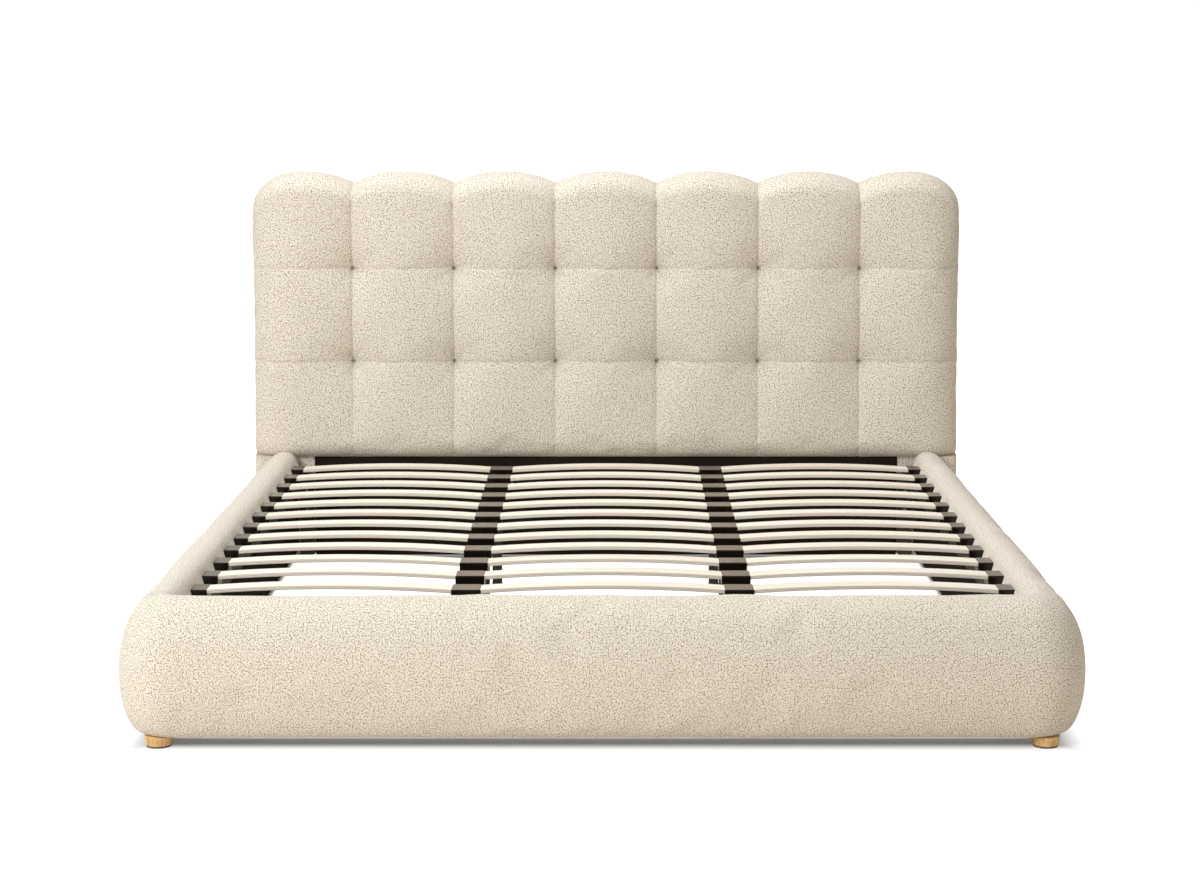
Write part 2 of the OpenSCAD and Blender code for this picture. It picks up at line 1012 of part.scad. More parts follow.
side_holders(-1);  // side_holders_left
side_holders(1);  // side_holders_right
double_holders(-1);  // double_holders_left
double_holders(1);  // double_holders_right
centre_rail(-1);  // centre_rail_left
centre_rail(1);  // centre_rail_right
hanger_brackets();
centre_legs();
base_screws();
leveller(-1, 0);  // leveller_1
leveller(-1, 1);  // leveller_2
leveller(-1, 2);  // leveller_3
leveller(1, 0);  // leveller_4
leveller(1, 1);  // leveller_5
leveller(1, 2);  // leveller_6
wooden_foot(-1);  // wooden_foot_left
wooden_foot(1);  // wooden_foot_right
foot_bolts();
felt_pads();
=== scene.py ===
# %% [markdown]
# # An upholstered bed, from its frame to its fabric
# The frame of this bed is already made: boards, slats, brackets and feet arrive as solids with exact
# sizes. What is missing is everything that a hand would touch. This notebook makes the padded covers,
# the sprung slats and the finishes, each in the place that the frame gives it. Units are metres. X is
# the width, Y runs from the foot end to the headboard, and Z is up.

# %% Load the frame
import json
import math
import bmesh
import bpy
import numpy as np
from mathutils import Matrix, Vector, noise


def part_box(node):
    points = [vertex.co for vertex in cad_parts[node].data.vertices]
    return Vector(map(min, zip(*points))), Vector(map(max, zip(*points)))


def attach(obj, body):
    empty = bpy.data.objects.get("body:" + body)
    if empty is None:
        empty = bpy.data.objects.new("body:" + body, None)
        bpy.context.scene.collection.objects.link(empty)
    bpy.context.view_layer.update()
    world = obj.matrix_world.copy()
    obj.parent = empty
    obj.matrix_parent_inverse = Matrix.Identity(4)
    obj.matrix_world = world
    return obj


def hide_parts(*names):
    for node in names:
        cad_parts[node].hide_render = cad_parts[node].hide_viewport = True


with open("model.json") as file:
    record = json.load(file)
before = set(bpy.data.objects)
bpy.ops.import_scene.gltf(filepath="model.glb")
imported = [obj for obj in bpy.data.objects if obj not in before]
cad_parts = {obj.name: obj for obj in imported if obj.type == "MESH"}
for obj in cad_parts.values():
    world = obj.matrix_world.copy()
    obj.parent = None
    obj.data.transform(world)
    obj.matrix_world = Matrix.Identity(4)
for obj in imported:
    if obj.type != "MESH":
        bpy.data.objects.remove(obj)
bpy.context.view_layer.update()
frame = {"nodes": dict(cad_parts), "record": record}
scene = bpy.context.scene


# %% Helpers for objects and their meshes
def in_scene(name, data):
    """A new object that shows data."""
    thing = bpy.data.objects.new(name, data)
    scene.collection.objects.link(thing)
    return thing


def discard(thing):
    """Removes an object and its mesh."""
    leftover = thing.data
    bpy.data.objects.remove(thing)
    bpy.data.meshes.remove(leftover)


def mesh_from(form, name):
    """The mesh of a form that was built point by point."""
    mesh = bpy.data.meshes.new(name)
    form.to_mesh(mesh)
    form.free()
    return mesh


# %% [markdown]
# ## Read the sizes from the frame
# Every size below is taken from a solid of the frame, so a padded cover can't drift away from the board
# that it is stapled to. The plain solids of the covers give the room that the fabric has.

# %% Sizes of the headboard and the rails
BODY = "bed"
head_low, head_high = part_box("head_cover")
rail_low, rail_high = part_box("rail_cover_right")
foot_low, foot_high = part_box("foot_cover")
panel_low, panel_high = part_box("head_lower_panel")
button_low, button_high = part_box("tuft_buttons")

head_half = head_high[0]
crown_y = head_low[1]
back_y = head_high[1]
head_top = head_high[2]
head_base = head_low[2]
well_half = rail_low[0]
foot_y = rail_low[1]
lower_y = rail_high[1]
rail_thick = rail_high[0] - rail_low[0]
rail_base = rail_low[2]
rail_top = rail_high[2]
pad_base = panel_high[2]
panel_half = panel_high[0]
print("headboard", 2 * head_half, "x", head_top, "rail", rail_thick, "x", rail_top - rail_base)

# %% Sizes that the solids don't say
CHANNELS = 7
PUFF = 0.036
CORNER_DROP = 0.110
SIDE_DROP = 0.080
BUTTON_R = 0.010
TUFT_ROWS = (button_low[2] + BUTTON_R, button_high[2] - BUTTON_R)
ROLL_R = 0.035
HEEL = 0.085
WAIST_Z = 0.165
LEDGE_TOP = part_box("slat_ledge_left")[1][2]
SLAT_ROWS = 12
SLAT_WIDE = 0.059
SLAT_THICK = 0.009
SLAT_CROWN = 0.012
SLAT_GRIP = 0.025

channel_half = head_half / CHANNELS
channel_x = [(-head_half + channel_half) + 2 * channel_half * c for c in range(CHANNELS)]
puff_r = (channel_half ** 2 + PUFF ** 2) / (2 * PUFF)

# %% [markdown]
# ## Shader sums as plain expressions
# A procedural finish is a sum of simple fields: a noise here, a grain there, more of one where the
# other is high. `Wire` wraps an output socket, so `height = nubs * 0.6 + fuzz * 0.4` adds its own Math
# nodes. Everything else goes through `Finish.add`, which takes a node type, its settings and its
# inputs.


# %% Wire: a socket that can be added and multiplied
def sum_method(operation, swapped=False):
    """A method that makes the Math node of one operation."""
    def method(self, other):
        pair = (other, self) if swapped else (self, other)
        return self.nodes.math(operation, *pair)
    return method


class Wire:
    """An output socket of a node tree, with arithmetic on its values."""

    def __init__(self, nodes, socket):
        self.nodes = nodes
        self.socket = socket

    __add__, __radd__ = sum_method("ADD"), sum_method("ADD", True)
    __sub__, __rsub__ = sum_method("SUBTRACT"), sum_method("SUBTRACT", True)
    __mul__, __rmul__ = sum_method("MULTIPLY"), sum_method("MULTIPLY", True)
    __truediv__ = sum_method("DIVIDE")

    def beside(self, name):
        """Another output of the same node."""
        return Wire(self.nodes, self.socket.node.outputs[name])


# %% Nodes: a tree under construction
class Nodes:
    """A node tree whose nodes are added one call at a time."""

    def __init__(self, tree):
        self.tree = tree

    def add(self, kind, settings=None, inputs=None, output=0):
        """One node: settings are its properties, inputs its sockets' values or wires."""
        node = self.tree.nodes.new(kind)
        for key, value in (settings or {}).items():
            setattr(node, key, value)
        for key, value in (inputs or {}).items():
            self.put(node.inputs[key], value)
        return Wire(self, node.outputs[output])

    def put(self, socket, value):
        if isinstance(value, Wire):
            self.tree.links.new(value.socket, socket)
        else:
            socket.default_value = value

    def parts(self, vector):
        """The three numbers of a vector."""
        first = self.add("ShaderNodeSeparateXYZ", None, {0: vector})
        return first, first.beside("Y"), first.beside("Z")

    def math(self, operation, *values):
        """A Math node on one value or two."""
        return self.add("ShaderNodeMath", {"operation": operation}, dict(enumerate(values)))


# %% Finish: a material under construction
NOISE_RANGE = (0.3, 0.7)


class Finish(Nodes):
    """A material, with the fields and mixes that the finishes here need."""

    def __init__(self, name, roughness=0.5, **fixed):
        self.material = bpy.data.materials.new(name)
        self.material.use_nodes = True
        super().__init__(self.material.node_tree)
        self.shader = self.tree.nodes["Principled BSDF"]
        self.shader.inputs["Roughness"].default_value = roughness
        for socket, value in fixed.items():
            label = socket.replace("_", " ").title().replace("Ior", "IOR")
            self.shader.inputs[label].default_value = value

    def place(self, scale=(1.0, 1.0, 1.0), turn=(0.0, 0.0, 0.0)):
        """The point on the piece, in metres, stretched by scale."""
        point = self.add("ShaderNodeTexCoord", output="Object")
        return self.add("ShaderNodeMapping", None, {"Vector": point, "Scale": scale, "Rotation": turn})

    def stored(self, name):
        """A value that the mesh carries at each of its points."""
        return self.add("ShaderNodeAttribute", {"attribute_name": name}, output="Fac")

    def noise(self, place, scale, detail=2.0, roughness=0.5, distortion=0.0):
        sizes = {"Vector": place, "Scale": scale, "Detail": detail, "Roughness": roughness,
                 "Distortion": distortion}
        return self.add("ShaderNodeTexNoise", None, sizes)

    def ramp(self, value, stops):
        """Colours along a value: stops are (position, colour) pairs."""
        node = self.tree.nodes.new("ShaderNodeValToRGB")
        self.put(node.inputs["Fac"], value)
        elements = node.color_ramp.elements
        while len(elements) < len(stops):
            elements.new(0.5)
        for element, (position, colour) in zip(elements, stops):
            element.position = position
            element.color = (*colour, 1.0)
        return Wire(self, node.outputs["Color"])

    def between(self, value, low, high, to_low, to_high):
        """A value carried from one range to another, and held at its ends."""
        sizes = {"Value": value, "From Min": low, "From Max": high, "To Min": to_low, "To Max": to_high}
        return self.add("ShaderNodeMapRange", None, sizes)

    def mix(self, factor, a, b, blend="MIX"):
        """Colour a turned towards colour b by factor."""
        colours = [c if isinstance(c, Wire) else (*c, 1.0) for c in (a, b)]
        settings = {"data_type": "RGBA", "blend_type": blend}
        return self.add("ShaderNodeMix", settings, {0: factor, 6: colours[0], 7: colours[1]}, output=2)

    def bump(self, height, strength, depth):
        facts = {"Strength": strength, "Distance": depth, "Height": height}
        self.put(self.shader.inputs["Normal"], self.add("ShaderNodeBump", None, facts))

    def colour(self, value):
        target = self.shader.inputs["Base Color"]
        self.put(target, value if isinstance(value, Wire) else (*value, 1.0))

    def rough(self, field, least, most):
        """Roughness from least to most, along the usual range of a noise field."""
        self.put(self.shader.inputs["Roughness"], self.between(field, *NOISE_RANGE, least, most))

    def tones(self, value, low, dark, high, light):
        """Base colour from dark to light, along a value from low to high."""
        self.colour(self.ramp(value, [(low, dark), (high, light)]))


# %% [markdown]
# ## Camera, floor and light
# The camera looks from the foot end, a little above eye height of a seated person, through a long lens.
# Part of the framing comes from a small vertical shift, which keeps the headboard's sides upright. A
# big soft light stands at the left front, and a white room fills the shadows.

# %% Camera
CAMERA_AT = Vector((0.0313, foot_y - 5.3736, 1.5028))
LENS_MM = 71.84
SENSOR_MM = 36.0
SHIFT = (-0.0133, -0.100)
TILT_DEG = 5.673
FARTHEST = 60.0

camera_data = bpy.data.cameras.new("camera")
camera_data.lens = LENS_MM
camera_data.sensor_width = SENSOR_MM
camera_data.shift_x, camera_data.shift_y = SHIFT
camera_data.clip_end = FARTHEST
camera = in_scene("camera", camera_data)
camera.location = CAMERA_AT
camera.rotation_euler = (math.radians(90.0 - TILT_DEG), 0.0, 0.0)
scene.camera = camera

# %% Floor
FLOOR_HALF = 30.0
floor_mesh = bpy.data.meshes.new("floor")
CORNERS = ((-1, -1), (1, -1), (1, 1), (-1, 1))
floor_mesh.from_pydata([(x * FLOOR_HALF, y * FLOOR_HALF, 0.0) for x, y in CORNERS], [], [(0, 1, 2, 3)])
floor = in_scene("floor", floor_mesh)


def seen_as_white(nodes, surface, lift):
    """Adds a glow that only the camera sees, so the room is white without flattening the light."""
    glow = nodes.add("ShaderNodeEmission", None, {"Strength": lift})
    by_camera = nodes.add("ShaderNodeLightPath", output="Is Camera Ray")
    shown = nodes.add("ShaderNodeMixShader", None, {0: by_camera, 2: glow})
    return nodes.add("ShaderNodeAddShader", None, {0: surface, 1: shown})


# %% The floor's own shade, kept only round the foot of the bed
SHADE_BAND = (0.876, 0.886, 0.925, 1.0)
LIFT_IN_BAND = 0.10
LIFT_ELSEWHERE = 1.0
FLOOR_LIT = (0.84, 0.77, 0.68)
FLOOR_SEEN = (0.42, 0.43, 0.45)

ground = Finish("floor", roughness=0.9)
by_camera = ground.add("ShaderNodeLightPath", output="Is Camera Ray")
ground.colour(ground.mix(by_camera, FLOOR_LIT, FLOOR_SEEN))
across, along, _ = ground.parts(ground.place((1 / head_half, 1 / back_y, 1.0)))
outwards = ground.math("MAXIMUM", ground.math("ABSOLUTE", across), ground.math("ABSOLUTE", along))
rising = ground.between(outwards, SHADE_BAND[0], SHADE_BAND[1], 0.0, 1.0)
falling = ground.between(outwards, SHADE_BAND[2], SHADE_BAND[3], 1.0, 0.0)
lift = LIFT_ELSEWHERE - (LIFT_ELSEWHERE - LIFT_IN_BAND) * rising * falling
bsdf = Wire(ground, ground.shader.outputs["BSDF"])
ground.put(ground.tree.nodes["Material Output"].inputs["Surface"], seen_as_white(ground, bsdf, lift))
floor_mesh.materials.append(ground.material)


# %% Lights
def soft_light(name, place, target, size, watts, tint=(1.0, 1.0, 1.0)):
    """A square area light at place that faces target."""
    data = bpy.data.lights.new(name, "AREA")
    data.shape = "SQUARE"
    data.size = size
    data.energy = watts
    data.color = tint
    light = in_scene(name, data)
    light.location = place
    light.rotation_euler = (Vector(target) - Vector(place)).to_track_quat("-Z", "Y").to_euler()


soft_light("key", place=(-3.9, -4.6, 4.0), target=(0.1, 0.0, 0.4), size=2.0, watts=308.0,
           tint=(0.96, 0.98, 1.0))
soft_light("top", place=(-0.3, 0.4, 4.4), target=(0.0, 0.0, 0.0), size=2.6, watts=95.0)

# %% The room
WALLS = (1.0, 0.945, 0.875, 1.0)
WALLS_LIGHT = 0.50
WALLS_LIFT = 0.8

world = bpy.data.worlds.new("room")
world.use_nodes = True
room = Nodes(world.node_tree)
walls = room.tree.nodes["Background"]
walls.inputs["Color"].default_value = WALLS
walls.inputs["Strength"].default_value = WALLS_LIGHT
whole_room = seen_as_white(room, Wire(room, walls.outputs["Background"]), WALLS_LIFT)
room.put(room.tree.nodes["World Output"].inputs["Surface"], whole_room)
scene.world = world
scene.view_settings.view_transform = "Standard"

# %% [markdown]
# ## Boucle
# Boucle is woven from a looped yarn, so its face is a crowd of soft nubs about 3.5 millimetres across,
# with little dark gaps between them. Cells of a Voronoi field are the nubs. They are warped by a noise,
# so that no nub is round, and a finer noise roughens each one into its yarn. The gaps are painted tan, as
# painted shade, because light that goes into a loop comes out darker and warmer.

# %% Boucle finish
CREAM = (0.800, 0.745, 0.650)
CREAM_LIGHT = (0.975, 0.950, 0.895)
GAP_SHADE = (0.420, 0.335, 0.235)
# Dark browns of painted shade: deep in each tuft, and on the end of the cover inside the bed.
FOLD_SHADE = (0.110, 0.066, 0.036)
TAIL_SHADE = (0.060, 0.038, 0.024)
NUBS_PER_METRE = 285.0
BUTTON_SHADE = 0.75
WARP_SCALE = 300.0
WARP = 0.0012
YARN_SCALE = 620.0
NUB_BUMP = 0.003


def boucle(name, on_sheet):
    """The cover: nubs of yarn, with painted shade deep in a tuft and on the end of the cover that goes down
    inside the bed.

    A sheet is woven flat, so its nubs lie on the sheet's own flat map ("weave", in metres). The buttons
    have no such map, and they sit in shade behind the cover, so their colour is painted dark as painted
    shade.
    """
    cloth = Finish(name, roughness=0.95, sheen_weight=0.25, sheen_roughness=0.6)
    place = cloth.place()
    spot = cloth.add("ShaderNodeUVMap", {"uv_map": "weave"}) if on_sheet else place
    sizes = {"Vector": place, "Scale": WARP_SCALE, "Detail": 0.0}
    warp = cloth.add("ShaderNodeTexNoise", None, sizes, output="Color")
    pushed = cloth.add("ShaderNodeVectorMath", {"operation": "MULTIPLY_ADD"},
                       {0: warp, 1: (WARP, WARP, WARP), 2: spot})
    size = "2D" if on_sheet else "3D"
    gap = cloth.add("ShaderNodeTexVoronoi", {"voronoi_dimensions": size},
                    {"Vector": pushed, "Scale": NUBS_PER_METRE, "Randomness": 0.85})
    own_tone = gap.beside("Color")
    yarn = cloth.noise(place, YARN_SCALE, 0.0)
    cloth.bump((1.0 - gap) * 0.8 + yarn * 0.4, 0.8, NUB_BUMP)
    # The tone paints the gaps between the nubs tan, as painted shade; the yarn noise and each nub's own tone
    # are the cloth's real variation.
    tone = (1.0 - gap) * 0.82 + own_tone * 0.04 + yarn * 0.24
    base = cloth.ramp(tone, [(0.40, GAP_SHADE), (0.68, CREAM), (0.90, CREAM_LIGHT)])
    # Painted shade towards a dark brown: deep in each tuft of a sheet, three quarters of the way on a
    # button, and fully on the end of the cover inside the bed.
    deep = cloth.stored("fold_shade") if on_sheet else BUTTON_SHADE
    base = cloth.mix(deep, base, FOLD_SHADE)
    cloth.colour(cloth.mix(cloth.stored("tail_shade"), base, TAIL_SHADE))
    return cloth.material


BOUCLE = boucle("boucle", True)
BOUCLE_SHADED = boucle("boucle_small", False)
print("boucle nub pitch:", round(1000 / NUBS_PER_METRE, 1), "mm")

# %% [markdown]
# ## A grid of points is the fabric
# A cover is a sheet that was cut and sewn, so it is made as a sheet: rows and columns of points, each
# put where the shape says. Columns crowd towards a seam, because that is where cloth bends hardest.


# %% Helpers for sheets
def flat_map(grid):
    """Where each point lies on the flat cloth: the distances along the sheet's two directions."""
    flat = []
    for axis in (1, 0):
        steps = np.linalg.norm(np.diff(grid, axis=axis), axis=2)
        run = np.insert(np.cumsum(steps, axis=axis), 0, 0.0, axis=axis)
        middle = np.take(run, [run.shape[axis] // 2], axis=axis)
        flat.append(run - middle)
    return np.stack(flat, axis=2)


def sheet_piece(name, grid, material, flip=False, keep=None, marks=None, stretch=1.0):
    """A mesh from a (rows, columns, 3) array of points, its faces outwards.

    keep masks the quads, marks are functions of x, y, z whose values are stored under their names, and
    stretch is how far the cloth is pulled open by its foam.
    """
    rows, columns, _ = grid.shape
    index = np.arange(rows * columns).reshape(rows, columns)
    quads = np.stack([index[:-1, :-1], index[:-1, 1:], index[1:, 1:], index[1:, :-1]], axis=-1)
    quads = quads[keep] if keep is not None else quads.reshape(-1, 4)
    if flip:
        quads = quads[:, ::-1]
    mesh = bpy.data.meshes.new(name)
    mesh.from_pydata(grid.reshape(-1, 3).tolist(), [], quads.tolist())
    weave = mesh.uv_layers.new(name="weave")
    corners = np.empty(len(mesh.loops), dtype=np.int32)
    mesh.loops.foreach_get("vertex_index", corners)
    flat = (flat_map(grid) / stretch).reshape(-1, 2)[corners]
    weave.data.foreach_set("uv", flat.reshape(-1).astype(np.float32))
    form = bmesh.new()
    form.from_mesh(mesh)
    bmesh.ops.delete(form, geom=[v for v in form.verts if not v.link_faces], context="VERTS")
    form.to_mesh(mesh)
    form.free()
    mesh.shade_smooth()
    mesh.materials.append(material)
    for label, amount in (marks or {}).items():
        worth = mesh.attributes.new(label, "FLOAT", "POINT")
        worth.data.foreach_set("value", [amount(*v.co) for v in mesh.vertices])
    return in_scene(name, mesh)


def crowded(count, pull=0.7):
    """Values from -1 to 1, closer together towards both ends."""
    even = np.linspace(-1.0, 1.0, count + 1)
    return (1.0 - pull) * even + pull * np.sin(even * math.pi / 2)


def wander(points, size, seed):
    """Smooth noise from -1 to 1 at each point, with lumps of about that size."""
    shift = Vector((seed * 7.3, seed * 3.1, seed * 5.7))
    return np.array([noise.noise(Vector(p) / size + shift) for p in points])


# %% [markdown]
# ## Letting the cloth settle
# A drawn shape looks drawn. Real cloth over foam is held where it is stitched or stapled and swells
# everywhere else, and small folds run towards the places that hold it. Blender's Cloth does that to a
# coarse copy of the sheet: its held points stay, a light pressure pushes the rest out, and the cloth is
# given a little slack. How far each point moved is capped, spread over the fine sheet and added to it,
# so nothing of the simulation is left on the piece.


# %% Settle a sheet
SETTLE_FRAMES = 18
COARSE = 2
CLOTH_FACTS = {"vertex_group_mass": "held", "quality": 5, "mass": 0.15, "tension_stiffness": 40.0,
               "compression_stiffness": 25.0, "shear_stiffness": 12.0, "bending_stiffness": 2.0,
               "air_damping": 4.0, "shrink_min": -0.006, "use_pressure": True}


def spread_uneven(values, places, count, axis):
    """Values known at some rows or columns, carried to all count of them."""
    moved = np.moveaxis(values, axis, 0)
    flat = moved.reshape(moved.shape[0], -1)
    fine = np.stack([np.interp(np.arange(count), places, line) for line in flat.T], axis=1)
    return np.moveaxis(fine.reshape((count,) + moved.shape[1:]), 0, axis)


def settle(grid, held, pressure, cap, window, flip=False):
    """The sheet's points after its cloth has swelled between the held ones.

    window is the (first row, end row, first column, end column) that the cloth covers. Its rim is held, and
    outside it lie only edges that are stapled flat, where points of the sheet fall together.
    """
    top, bottom, left, right = window
    whole = grid
    grid, held = whole[top:bottom, left:right], held[top:bottom, left:right].copy()
    held[:1], held[-1:], held[:, :1], held[:, -1:] = 1.0, 1.0, 1.0, 1.0
    rows = np.unique(np.append(np.arange(0, grid.shape[0], COARSE), grid.shape[0] - 1))
    columns = np.unique(np.append(np.arange(0, grid.shape[1], COARSE), grid.shape[1] - 1))
    coarse = grid[rows][:, columns]
    sheet = sheet_piece("settling", coarse, BOUCLE, flip)
    group = sheet.vertex_groups.new(name="held")
    for point, weight in enumerate(held[rows][:, columns].reshape(-1)):
        if weight > 0.0:
            group.add([point], float(weight), "REPLACE")
    cloth = sheet.modifiers.new("cloth", "CLOTH")
    for label, value in CLOTH_FACTS.items():
        setattr(cloth.settings, label, value)
    cloth.settings.uniform_pressure_force = pressure
    cloth.settings.effector_weights.gravity = 0.0
    cloth.point_cache.frame_end = SETTLE_FRAMES
    for step in range(1, SETTLE_FRAMES + 1):
        scene.frame_set(step)
    solved = sheet.evaluated_get(bpy.context.evaluated_depsgraph_get()).data
    points = np.empty(len(solved.vertices) * 3)
    solved.vertices.foreach_get("co", points)
    moved = points.reshape(coarse.shape) - coarse
    reach = np.linalg.norm(moved, axis=2, keepdims=True)
    print("settled", coarse.shape[:2], "mean", round(float(reach.mean()) * 1000, 2), "mm, most",
          round(float(reach.max()) * 1000, 2), "mm")
    moved *= cap / np.maximum(cap, reach)
    discard(sheet)
    scene.frame_set(1)
    moved = spread_uneven(moved, rows, grid.shape[0], 0)
    moved = spread_uneven(moved, columns, grid.shape[1], 1)
    settled = whole.copy()
    settled[top:bottom, left:right] += moved
    return settled


# %% [markdown]
# ## The headboard's pad
# The pad is seven upright channels of foam under one cover. Each valley is sewn down to the board, and
# two rows of buttons pull the cover deeper where the valleys cross the horizontal seams. The outline is
# a chain of arcs, so the top of each channel stands up a little. The whole front is one function: how
# deep the cover lies behind the crown of a channel at a point.

# %% Outline of the headboard's top


def top_line(x):
    """Height of the cover's top edge at x."""
    end_x = channel_x[-1]
    if abs(x) > end_x:
        reach = min(1.0, (abs(x) - end_x) / channel_half)
        return head_top - CORNER_DROP * (1.0 - math.sqrt(max(0.0, 1.0 - reach ** 2)))
    nearest = min(channel_x, key=lambda c: abs(c - x))
    return head_top - puff_r + math.sqrt(puff_r ** 2 - (x - nearest) ** 2)


# %% How deep the cover lies
SEAM_DEPTH = 0.031
SEAM_DEPTH_LOW = 0.012
PINCH_WIDE = (0.018, 0.055)
DIMPLE_FLOOR = 0.0215
PINCH_NARROW = (0.0120, 0.0085)
PLEATS = 7
PLEAT_HIGH = 0.0034
PLEAT_REACH = 0.022
TUCK_HIGH = 0.045
seams_x = [-head_half + 2 * channel_half * c for c in range(1, CHANNELS)]


def seam_strength(z):
    """Depth of the valleys: full at the tufts, fading towards the mattress."""
    fade = min(1.0, max(0.0, (z - pad_base - 0.05) / (TUFT_ROWS[0] - pad_base - 0.10)))
    return SEAM_DEPTH_LOW + (SEAM_DEPTH - SEAM_DEPTH_LOW) * fade ** 0.8


def channel_depth(x, z):
    """Depth of the channel's round, from its crown, and how far across the channel the point is."""
    nearest = min(range(CHANNELS), key=lambda c: abs(channel_x[c] - x))
    across = (x - channel_x[nearest]) / channel_half
    outer = (nearest == 0 and across < 0) or (nearest == CHANNELS - 1 and across > 0)
    if outer:
        return SIDE_DROP * (1.0 - math.sqrt(max(0.0, 1.0 - abs(across) ** 2.2))), 0.0
    round_part = 1.0 - math.sqrt(max(0.0, 1.0 - abs(across) ** 2.3))
    curve = 0.65 * round_part + 0.35 * abs(across) ** 2.4
    return seam_strength(z) * curve, abs(across)


def row_depth(across, z):
    """Depth of the two horizontal seams."""
    total = 0.0
    for row in TUFT_ROWS:
        gap = abs(z - row)
        total += (0.0035 + 0.0025 * across ** 3) * math.exp(-(gap / 0.030) ** 1.3)
        total += 0.0020 * math.exp(-(gap / 0.0035) ** 2)
    return total


def tuft_depth(x, z):
    """Depth of the pinch round each button, with its pleats."""
    total = 0.0
    for count, seam in enumerate(seams_x):
        if abs(x - seam) > 0.15:
            continue
        for level, row in enumerate(TUFT_ROWS):
            reach = math.hypot(x - seam, z - row)
            if reach > 0.2:
                continue
            turn = math.atan2(z - row, x - seam)
            wide = PINCH_WIDE[0] * math.exp(-(reach / PINCH_WIDE[1]) ** 1.5)
            narrow = PINCH_NARROW[0] * math.exp(-(reach / PINCH_NARROW[1]) ** 1.5)
            pleat = PLEAT_HIGH * (reach / PLEAT_REACH) * math.exp(-reach / PLEAT_REACH)
            phase = 1.7 * count + 2.9 * level
            total += wide + narrow + pleat * math.cos(PLEATS * turn + phase)
    return total


def front_depth(x, z):
    """Depth of the cover behind the crown plane, for a point of the padded front."""
    puffed, across = channel_depth(x, z)
    under = max(0.0, 1.0 - (z - pad_base) / TUCK_HIGH)
    tuck = (lower_y - crown_y) * (1.0 - math.sqrt(max(0.0, 1.0 - under ** 2)))
    return puffed + row_depth(across, z) + tuft_depth(x, z) + tuck


# %% Columns and rows of the pad
TOP_ROLL_Z = 0.060
TOP_ROLL_Y = 0.092
HEM = 0.004
REAR_PLAY = 0.012
COLUMNS_EACH = 34
ROWS_TUCK, ROWS_LOW, ROWS_MIDDLE, ROWS_HIGH, ROWS_ROLL = 8, 26, 36, 28, 12
columns = []
for c, centre in enumerate(channel_x):
    spread = crowded(COLUMNS_EACH) * channel_half + centre
    columns += list(spread if c == 0 else spread[1:])
for near in (-0.0015, 0.0015):
    columns += [panel_half + near, -panel_half - near]
columns = np.array(sorted(columns))
floor_rows = [head_base, 0.10, 0.20, 0.278, 0.284, pad_base - 0.006, pad_base - 0.0015]


def band(low, high, count, pull=0.7):
    """Heights from low to high without the first, closer together towards both ends."""
    return list((crowded(count, pull) + 1) / 2 * (high - low) + low)[1:]


def pad_column(x):
    """Points of one column, from the floor end up the front and over the top to the back."""
    top = top_line(x)
    shoulder = top - TOP_ROLL_Z
    side = channel_depth(x, 0.1)[0] if abs(x) > channel_x[-1] else 0.0
    points = [(x, max(lower_y, crown_y + side), z) for z in floor_rows]
    tuck = 1.0 - np.cos(np.linspace(0, math.pi / 2, ROWS_TUCK))
    bands = list(pad_base + TUCK_HIGH * tuck)
    bands += band(pad_base + TUCK_HIGH, TUFT_ROWS[0], ROWS_LOW)
    bands += band(*TUFT_ROWS, ROWS_MIDDLE)
    bands += band(TUFT_ROWS[1], shoulder, ROWS_HIGH, 0.6)
    limit = lower_y if abs(x) < well_half else back_y
    for z in bands:
        deepest = max(limit, crown_y + channel_depth(x, z)[0] + DIMPLE_FLOOR)
        points.append((x, min(crown_y + front_depth(x, z), deepest), z))
    start = points[-1][1]
    deep = min(TOP_ROLL_Y, back_y - REAR_PLAY - start)
    for turn in np.linspace(0, math.pi / 2, ROWS_ROLL)[1:]:
        y = start + deep * (1.0 - math.cos(turn))
        points.append((x, y, top - TOP_ROLL_Z * (1.0 - math.sin(turn))))
    last = points[-1][1]
    for share in (0.33, 0.66, 1.0):
        points.append((x, last + (back_y - last) * share, top))
    points.append((x, back_y, top - HEM))
    return points


pad_grid = np.array([pad_column(x) for x in columns]).transpose(1, 0, 2)
print("pad grid:", pad_grid.shape)


# %% Unevenness of the foam and puckers along the seams
def nearest_gap(values, lines):
    """How far each value is from the nearest of the lines."""
    return np.min(np.abs(values[..., None] - np.array(lines)), axis=-1)


flat_points = pad_grid.reshape(-1, 3)
lumps = wander(flat_points, 0.16, 1) * 0.0022 + wander(flat_points, 0.05, 2) * 0.0008
seam_gap = nearest_gap(flat_points[:, 0], seams_x)
row_gap = nearest_gap(flat_points[:, 2], TUFT_ROWS)
upright = wander(flat_points * np.array([0.4, 1.0, 1.0]), 0.022, 3) * 0.0014 * np.exp(-seam_gap / 0.018)
level = wander(flat_points * np.array([1.0, 1.0, 0.4]), 0.020, 6) * 0.0013 * np.exp(-row_gap / 0.012)
is_front = (flat_points[:, 2] > pad_base + 0.03) & (flat_points[:, 1] < back_y - 0.05)
flat_points[:, 1] -= (lumps + upright + level) * is_front
pad_grid = flat_points.reshape(pad_grid.shape)

# %% Side faces of the pad, from its last columns to the back
side_shares = np.linspace(0.0, 1.0, 7)


def side_grid(edge):
    """A strip from an outer column of the pad straight back to the rear edge, and its hem."""
    rear = edge.copy()
    rear[:, 1] = back_y
    hem = rear.copy()
    hem[:, 0] *= 1.0 - HEM / head_half
    strips = [edge + (rear - edge) * share for share in side_shares] + [hem]
    return np.stack(strips, axis=1)


left_side = side_grid(pad_grid[:, 0])[:, ::-1][:, :-1]
right_side = side_grid(pad_grid[:, -1])[:, 1:]
whole_pad = np.concatenate([left_side, pad_grid, right_side], axis=1)

